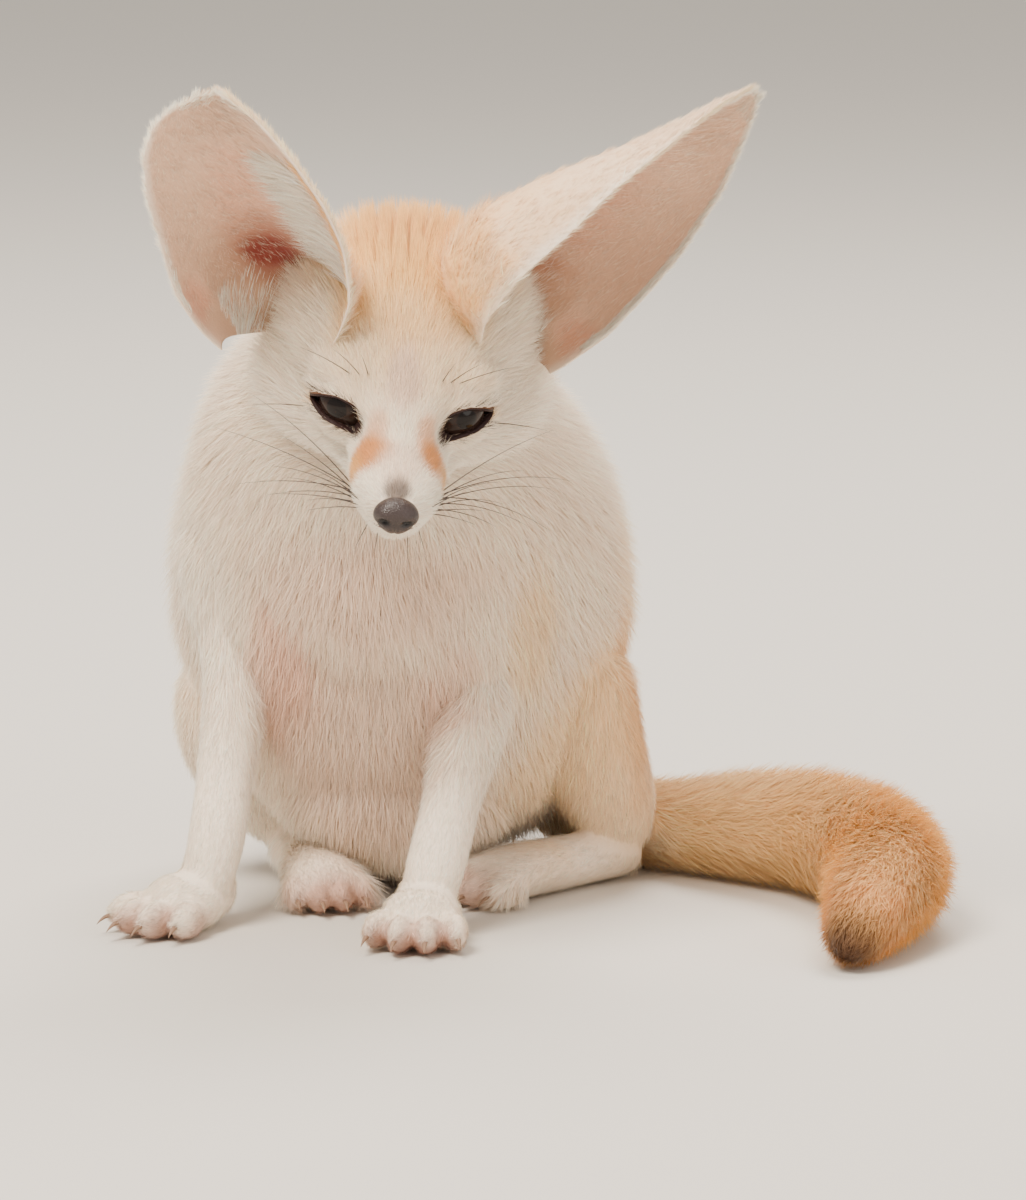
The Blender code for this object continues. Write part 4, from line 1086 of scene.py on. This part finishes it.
earMake = {
    "rows": 110, "columns": 72, "start": -0.14, "lobe": 0.2, "thickness": 1.1, "edge": 0.35,
    # ridges: height, turn at the base, how that shifts with the share, width, and the shares between which
    # each rises and falls away
    "ridges": [
        (0.9, -0.62, 0.2, 0.05, (-2, -1), (0.55, 0.1)), (0.8, -0.40, 0.3, 0.05, (-2, -1), (0.45, 0.05)),
        (1.1, 0.70, 0, 0.07, (0.06, 0.14), (0.34, 0.24)),
    ],
    # the pocket in share and turn, its half size and depth, and how far hollows may go into the wall
    "pocket": (0.2, 0.86), "pocketSize": 0.06, "pocketDepth": 1.0, "uneven": 0.2, "lowest": -0.15,
    # soft patches of colour in share and turn: middle, half sizes, colour and strength
    "innerPatches": [
        # the red patch low in the cup, with the deep pink round it, stands for the ear canal: partly its
        # redder skin, partly painted shade of its opening
        ((0.45, 0.0), (0.34, 0.5), "pink", 0.5), ((0.22, 0.05), (0.2, 0.5), "deepPink", 0.8),
        ((0.2, 0.12), (0.1, 0.24), "red", 0.95), ((0.2, 0.86), (0.08, 0.16), "pink", 0.6),
        ((0.3, -0.72), (0.3, 0.12), "fawn", 0.45), ((0.86, 0.1), (0.1, 0.6), "brown", 0.25),
    ],
    "outerPatches": [((0.0, 0.0), (0.42, 1.4), "golden", 0.9), ((0.4, 0.0), (0.4, 0.9), "fawn", 0.5)],
    "rimWhite": 0.7,
}


# An ear's middle sheet: arcs across it whose curl eases from the base to the tip, over share and turn
def earSheet(side):
    form = earForms[side]
    base, axis = fromHead(form["root"]), np.array(form["tip"], float)
    length = np.linalg.norm(axis)
    axis = axis / length
    opens = np.array(form["opens"])
    opens = unit(opens - axis * (opens @ axis))
    outward = np.cross(axis, opens)
    if (outward[0] > 0) != (side == "left"):
        outward = -outward
    turn = np.sin(np.linspace(-1, 1, earMake["columns"]) * math.pi / 2)[None]
    low = earMake["start"] + earMake["lobe"] * smoothStep(0.0, 1.0, turn) ** 1.5
    share = np.linspace(0, 1, earMake["rows"])
    full = low + (1 - low) * share[:, None]
    table = np.array(form["outline"])
    fine = np.linspace(-0.3, 1, 400)
    kernel = np.hanning(37) / np.hanning(37).sum()
    ease = lambda values: np.interp(full, fine, np.convolve(np.pad(values, 18, "edge"), kernel, "valid"))
    medial, lateral = (ease(np.interp(fine, table[:, 0], table[:, k])) for k in (1, 2))
    curl = ease(np.interp(fine, (0, 0.5, 1), form["curls"]))
    quarter = np.sin(np.minimum(curl, math.pi / 2))
    radius = np.where(turn < 0, medial, lateral) / quarter
    depth = (medial + lateral) / 2 / quarter * (1 - np.cos(curl))
    sideways = radius * np.sin(turn * curl)
    forward = depth * ((1 - np.cos(turn * curl)) / (1 - np.cos(curl)) - 0.5)
    bow = np.maximum(0, 4 * full * (1 - full))
    middle = base + axis * length * full[..., None] + np.array(form["bow"]) * bow[..., None]
    sheet = middle + outward * sideways[..., None] + opens * forward[..., None]
    normal = unit(np.cross(np.gradient(sheet, axis=1), np.gradient(sheet, axis=0)))
    centre = earMake["columns"] // 2
    if (normal[:, centre] @ opens).sum() < 0:
        normal = -normal
    return sheet, normal, full, np.broadcast_to(turn, full.shape)


# Ridges and the pocket at the ear's outer edge, as heights on its inner face
def earRelief(s, u):
    rise = np.zeros(s.shape)
    for height, turn, shift, width, starts, ends in earMake["ridges"]:
        ridge = height * np.exp(-(((u - turn - shift * s) / width) ** 2))
        rise += ridge * smoothStep(*starts, s) * smoothStep(*ends, s)
    pocket = np.hypot(s - earMake["pocket"][0], u - earMake["pocket"][1]) / earMake["pocketSize"]
    rise -= earMake["pocketDepth"] * np.exp(-(pocket**2))
    grid = np.stack([s * 60, u * 30, 0 * s], -1).reshape(-1, 3)
    rise += earMake["uneven"] * waviness(grid, 16, 7).reshape(s.shape)
    return np.maximum(rise, earMake["lowest"])


# The colour inside and behind the ear over share and turn
def earTint(s, u, inner, points):
    colour = np.broadcast_to(linear("earSkin" if inner else "earBack"), (*s.shape, 3))
    waver = 0.2 * waviness(points, 12, 9).reshape(s.shape)
    for (atS, atU), (sizeS, sizeU), name, strength in earMake["innerPatches" if inner else "outerPatches"]:
        out = np.hypot((s - atS) / sizeS, (u - atU) / sizeU) + waver
        colour = towards(colour, name, strength * (1 - smoothStep(0.4, 1.3, out)))
    rim = smoothStep(0.9, 1.0, np.maximum(np.abs(u), (s - 0.9) * 10))
    return towards(colour, "white", earMake["rimWhite"] * rim)


# The ear as a closed shell whose wall thins to its edge
def makeEar(side):
    sheet, normal, s, u = earSheet(side)
    rounded = np.sqrt(np.clip(1 - np.abs(u) ** 6, 0, 1))
    wall = earMake["edge"] + (earMake["thickness"] - earMake["edge"]) * rounded
    wall = wall * (0.4 + 0.6 * np.sqrt(np.clip((1 - s) * 12, 0, 1)))
    inner = sheet + normal * (wall / 2 + earRelief(s, u))[..., None]
    outer = sheet - normal * (wall / 2)[..., None]
    rows, columns = s.shape
    total = rows * columns
    faces = stripFaces(rows, columns, closed=False)
    index = np.arange(total).reshape(rows, columns)
    border = np.concatenate([index[0], index[1:, -1], index[-1, -2::-1], index[-2:0:-1, 0]])
    after = np.roll(border, -1)
    across = np.cross(inner[0, 1] - inner[0, 0], inner[1, 0] - inner[0, 0])
    rightWay = across @ normal[0, 0] > 0
    lists = [faces, faces[:, ::-1] + total, np.stack([after, border, border + total, after + total], -1)]
    if not rightWay:
        lists = [some[:, ::-1] for some in lists]
    points = np.concatenate([inner.reshape(-1, 3), outer.reshape(-1, 3)])
    ear = meshObject("ear" + side.capitalize(), points, lists)
    tints = [earTint(s, u, True, inner.reshape(-1, 3)), earTint(s, u, False, outer.reshape(-1, 3))]
    paint(ear.data, np.concatenate([tint.reshape(-1, 3) for tint in tints]))
    ear.data.materials.append(materialNamed("earLining"))
    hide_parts("ear_" + side)
    return {"inner": inner, "outer": outer, "normal": normal, "share": s, "turn": u}


# Bilinear samples of a grid at fractional rows and columns
def sampled(grid, row, column):
    i = np.minimum(row.astype(int), grid.shape[0] - 2)
    j = np.minimum(column.astype(int), grid.shape[1] - 2)
    a, b = (row - i), (column - j)
    if grid.ndim == 3:
        a, b = a[:, None], b[:, None]
    low = grid[i, j] * (1 - b) + grid[i, j + 1] * b
    high = grid[i + 1, j] * (1 - b) + grid[i + 1, j + 1] * b
    return low * (1 - a) + high * a


# Each kind of hair on an ear: face, range of share and of turn, number, length, lift, width, its lie as
# (along, across) and its colour, where None takes the ear's own
earHair = {
    "back": ("outer", (0.1, 0.99), (-1, 0.86), 9000, 4.6, 17, 0.32, (1, 0), None),
    "backBase": ("outer", (-0.14, 0.3), (-1, 0.45), 4500, 8.5, 24, 0.34, (1, 0), None),
    "lining": ("inner", (0.1, 0.97), (-1, 1), 8500, 5.2, 17, 0.2, (1, 0.35), "fuzz"),
    "rimMedial": ("rim", (0.0, 1), (-1, -0.94), 2200, 4.6, 20, 0.28, (0.8, -0.6), "cream"),
    "rimLateral": ("rim", (0.2, 1), (0.94, 1), 2200, 4.0, 20, 0.28, (0.8, 0.6), "white"),
    "rimTop": ("rim", (0.94, 1), (-1, 1), 700, 4.0, 20, 0.28, (1, 0), "white"),
    "stripe": ("rim", (0.02, 0.75), (-0.97, -0.84), 1500, 5, 14, 0.28, (1, 0.1), "fawn"),
    "medialLong": ("rim", (0.2, 0.7), (-0.76, -0.3), 2800, 11, 10, 0.26, (0.25, 1), "white"),
    "baseTuft": ("rim", (-0.1, 0.12), (-0.3, 0.7), 2600, 7, 12, 0.36, (1, -0.2), "white"),
}


# Hair on an ear, rooted at even chances over each kind's range of share and turn
def makeEarCoat(side, ear, material):
    dice = np.random.default_rng(70 + (side == "left"))
    rows, columns = ear["share"].shape
    parts = []
    for face, shares, turns, count, hair, lift, width, (up, over), tone in earHair.values():
        s, u = dice.uniform(*shares, count), dice.uniform(*turns, count)
        column = np.interp(u, ear["turn"][0], np.arange(columns))
        low = np.interp(column, np.arange(columns), ear["share"][0])
        s = np.maximum(s, low)
        row = (s - low) / (1 - low) * (rows - 1)
        grid = ear["outer" if face == "outer" else "inner"]
        at = sampled(grid, row, column)
        out = unit(sampled(ear["normal"], row, column)) * (-1 if face == "outer" else 1)
        along = sampled(unit(np.gradient(grid, axis=0)), row, column)
        across = sampled(unit(np.gradient(grid, axis=1)), row, column)
        if face == "rim":
            out = unit(unit(np.array(earForms[side]["opens"])) + 0.4 * across * np.sign(u)[:, None])
        if tone == "fuzz":
            tint = 0.4 * earTint(s, u, True, at) + 0.6 * linear("milk")
        elif tone is None:
            tint = earTint(s, u, face == "inner", at)
        else:
            tint = np.broadcast_to(linear(tone), (count, 3))
        parts.append({
            "at": at, "normal": out, "flow": along * up + across * over, "hair": np.full(count, float(hair)),
            "lift": np.full(count, float(lift)), "width": np.full(count, width), "colour": tint * 1.04,
            "pull": np.full(count, 0.35),
            "uv": np.stack([(u + 1) / 4 + (0.5 if face == "outer" else 0), np.clip(s, 0, 1)], 1),
        })
    whole = stacked(parts)
    growTufts("coatEar" + side.capitalize(), whole, whole, 80, 2.5, material)


whiskerForm = {
    "rows": 3, "each": 4, "root": (10.5, -30.5, -8.5), "step": (0.9, 3.0, -0.3), "drop": (0.4, 0.8, -2.3),
    "length": (14, 42), "thick": 0.14, "tint": (52, 40, 36), "roughness": 0.4,
    # brow and cheek hairs: root, direction, length
    "brows": [
        ((12, 0, 12), (0.45, -0.5, 0.85), 20), ((14.5, 1, 11.5), (0.7, -0.45, 0.75), 24),
        ((9.5, 0, 12), (0.2, -0.5, 0.9), 15), ((26, 8, -4), (0.9, -0.3, 0.25), 17),
        ((7, -24, -19), (0.4, -0.2, -0.9), 9), ((4, -29, -18), (0.1, -0.45, -0.9), 7),
    ],
}


# Whiskers: thin tapered tubes that leave the skin, bow back and droop by the square of their length
def makeWhiskers(skinTree):
    dice = np.random.default_rng(5)
    pieces = []
    for side in (-1, 1):
        strands = []
        for i in range(whiskerForm["rows"]):
            for j in range(whiskerForm["each"]):
                step, drop = np.array(whiskerForm["step"]), np.array(whiskerForm["drop"])
                root = np.array(whiskerForm["root"]) + step * j + drop * i
                aim = np.array([1.0, 0.15 + 0.12 * j, 0.75 - 0.42 * i + dice.uniform(-0.12, 0.12)])
                low, high = whiskerForm["length"]
                reach = (low + (high - low) * j / 3) * dice.uniform(0.8, 1.1)
                strands.append((root, aim, reach, dice.uniform(0.2, 0.5)))
        for root, aim, reach in whiskerForm["brows"]:
            strands.append((np.array(root, float), np.array(aim), reach, 0.15))
        for root, aim, reach, droop in strands:
            root, aim = root * (side, 1, 1), unit(aim * (side, 1, 1))
            start = toHead(nearestOn(skinTree, fromHead(root)))
            t = np.linspace(0, 1, 14)[:, None]
            path = start - aim * 0.6 + aim * reach * t + np.array([0, 0.35, -1.0]) * droop * reach * t**2
            thick = whiskerForm["thick"] * (1 - t[:, 0]) ** 0.8 + 0.02
            rows = np.column_stack([fromHead(path), thick, thick])
            pieces.append(fineTube(rows))
    points, faces = joined(pieces)
    whiskers = meshObject("whiskers", points, faces)
    tint = linear(whiskerForm["tint"])
    whiskers.data.materials.append(plainMaterial("whiskerHair", tint, whiskerForm["roughness"]))


# A slim tube straight on its given stations
def fineTube(rows, sides=6, lateral=(0.3, 0.2, 1)):
    _, side, up = ringAxes(rows, lateral)
    turn = np.linspace(0, 2 * math.pi, sides, endpoint=False)
    across = side[:, None] * np.cos(turn)[None, :, None] * rows[:, 3, None, None]
    above = up[:, None] * np.sin(turn)[None, :, None] * rows[:, 4, None, None]
    return closedRings(rows[:, None, :3] + across + above, rows[0, :3], rows[-1, :3])


# The nearest point on the skin
def nearestOn(tree, point):
    found = tree.find_nearest(Vector(inMetres(point)))[0]
    return np.array(found) / millimetre - originShift


# The lips: a slim dark roll laid along the pressed line of the mouth
def makeLips(skinTree):
    half = smoothRows(lipForm["line"], 24)
    line = np.vstack([half[::-1] * (-1, 1, 1), half[1:]])
    laid = np.array([nearestOn(skinTree, point) for point in fromHead(line)])
    t = np.linspace(-1, 1, len(laid))
    thick = lipForm["thick"] * (1 - 0.75 * np.abs(t) ** 1.5)
    points, faces = fineTube(np.column_stack([laid, thick, thick]), 10)
    lips = meshObject("lips", points, faces)
    paint(lips.data, np.broadcast_to(linear(lipForm["tint"]), (len(points), 3)))
    lips.data.materials.append(materialNamed("lidSkin"))


clawForm = {"length": 4.2, "thick": 0.75, "droop": 0.5, "tint": (140, 112, 92)}


# Claws: tapered tubes that bend down from each toe
def makeClaws():
    places = []
    for side in ("Left", "Right"):
        wrist, heading = pawForm["wrists"][side]
        turn = rotation("z", -heading)
        for x, y, fan in pawForm["toes"]:
            ahead = turn @ rotation("z", fan) @ np.array([0, -1.0, 0])
            at = turn @ np.array([x, y, 0.0]) + np.array([*wrist, 0])
            places.append((at + ahead * (pawForm["toe"][2] - 1.5) + np.array([0, 0, 5.0]), ahead))
        heel, toes, ahead, across = footAxes(side)
        for off, short in footForm["toes"]:
            at = toes + across * off + ahead * (short + footForm["toe"][2] - 1.5)
            places.append((at + np.array([0, 0, 4.6]), ahead))
    pieces = []
    for at, ahead in places:
        t = np.linspace(0, 1, 8)[:, None]
        drop = np.array([0, 0, 1.0]) * clawForm["droop"] * clawForm["length"]
        path = at + ahead * clawForm["length"] * t - drop * t**2
        thick = clawForm["thick"] * (1 - t[:, 0] ** 1.6) + 0.05
        pieces.append(fineTube(np.column_stack([path, thick * 0.8, thick]), 8, (0, 0, 1)))
    points, faces = joined(pieces)
    claws = meshObject("claws", points, faces)
    paint(claws.data, np.broadcast_to(linear(clawForm["tint"]), (len(points), 3)))
    claws.data.materials.append(materialNamed("lidSkin"))


# Eyeballs: the pupil, iris and dark white as rings round the gaze, with the cornea's swell, drawn out
# along the slit
def makeEyes():
    iris, whiteEdge = eyeForm["irisSize"], eyeForm["irisSize"] + eyeForm["whiteFade"]
    for side, name in ((1, "eye_left"), (-1, "eye_right")):
        low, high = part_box(name)
        radius = (high[0] - low[0]) / 2 / millimetre
        points, faces = ball((0, 0, 0, radius, radius, radius), 96)
        out = np.hypot(points[:, 0], points[:, 1])
        swell = eyeForm["cornea"] * (1 - smoothStep(0, iris / radius, out / radius)) * (points[:, 2] > 0)
        points = points + np.array([0, 0, 1.0]) * swell[:, None]
        pupil = (out < eyeForm["pupilSize"])[:, None]
        colour = np.where(pupil, linear(eyeForm["pupil"]), linear(eyeForm["iris"]))
        colour = towards(colour, eyeForm["irisEdge"], smoothStep(iris * 0.75, iris, out))
        beyond = smoothStep(iris, whiteEdge, out)[:, None]
        colour = colour * (1 - beyond) + linear(eyeForm["white"]) * beyond * 0.6
        points = points * (eyeForm["long"], 1, 1) + (eyeForm["off"], 0, 0)
        placed = fromHead(fromEye(points * (1, side, 1), side))
        eye = meshObject(name.replace("_", "") + "Ball", placed, faces)
        paint(eye.data, colour)
        eye.data.materials.append(materialNamed("wetEye"))
        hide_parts(name)


cameraPlace = {"distance": 1600, "elevation": 9, "aim": (0, 0, 86.7), "frameHeight": 336, "sensor": 36}


# A long lens that shows frameHeight millimetres at its distance: focal length = sensor * distance / height
def makeCamera():
    look = bpy.data.cameras.new("camera")
    look.sensor_fit = "VERTICAL"
    look.sensor_height = cameraPlace["sensor"]
    look.lens = cameraPlace["sensor"] * cameraPlace["distance"] / cameraPlace["frameHeight"]
    look.clip_start, look.clip_end = 0.05, 50
    camera = bpy.data.objects.new("camera", look)
    bpy.context.scene.collection.objects.link(camera)
    rise = math.radians(cameraPlace["elevation"])
    back = np.array([0, -math.cos(rise), math.sin(rise)]) * cameraPlace["distance"]
    camera.location = inMetres(np.array(cameraPlace["aim"]) + back)
    camera.rotation_euler = (math.pi / 2 - rise, 0, 0)
    bpy.context.scene.camera = camera


studio = {
    "floor": (0.66, 0.62, 0.57), "floorReach": 6.0, "world": (1.0, 0.945, 0.865), "worldStrength": 0.85,
    # name, place in metres, size, power in watts, colour
    "lights": [
        ("key", (-0.9, -1.1, 2.3), 1.2, 110, (1.0, 0.91, 0.79)),
        ("fill", (1.7, -1.5, 0.9), 1.6, 16, (1.0, 0.94, 0.87)),
        ("top", (0.3, 0.9, 2.0), 1.2, 50, (1.0, 0.95, 0.88)),
    ],
}


# A pale floor, an even sky and three round lamps aimed at the fox
def makeStudio():
    points = np.array([(-1, -1, 0), (1, -1, 0), (1, 1, 0), (-1, 1, 0)]) * studio["floorReach"]
    floor = meshObject("floor", points / millimetre - originShift, [np.array([[0, 1, 2, 3]])], stage=True)
    floor.data.materials.append(plainMaterial("paleFloor", studio["floor"], 0.9))
    world = bpy.data.worlds.new("studio")
    world.use_nodes = True
    world.node_tree.nodes["Background"].inputs["Color"].default_value = (*studio["world"], 1)
    world.node_tree.nodes["Background"].inputs["Strength"].default_value = studio["worldStrength"]
    bpy.context.scene.world = world
    for name, place, size, power, colour in studio["lights"]:
        light = bpy.data.lights.new(name, "AREA")
        light.shape = "DISK"
        light.size = size
        light.energy = power
        light.color = colour
        lamp = bpy.data.objects.new(name, light)
        bpy.context.scene.collection.objects.link(lamp)
        lamp.location = place
        lamp.rotation_euler = (Vector((0, 0, 0.1)) - Vector(place)).to_track_quat("-Z", "Y").to_euler()


makeCamera()
makeStudio()
print("camera and studio ready")
skin = makeSkin()
skin.data.materials.clear()
skin.data.materials.append(materialNamed("shortCoatedSkin"))
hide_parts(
    "head", "neck", "torso", "foreleg_left", "foreleg_right", "forepaw_left", "forepaw_right",
    "hindleg_left", "hindleg_right", "hindfoot_left", "hindfoot_right",
    "tail_base", "tail_middle", "tail_end",
)
print("skin", len(skin.data.polygons), "triangles")
skinTree = BVHTree.FromObject(skin, bpy.context.evaluated_depsgraph_get())
makeEyes()
makeLids()
makeNose()
makeLips(skinTree)
makeWhiskers(skinTree)
makeClaws()
furMaterial = materialNamed("softFur")
for earSide in ("left", "right"):
    makeEarCoat(earSide, makeEar(earSide), furMaterial)
print("head furnished")
makeCoat(skin, furMaterial)
print("coat grown")
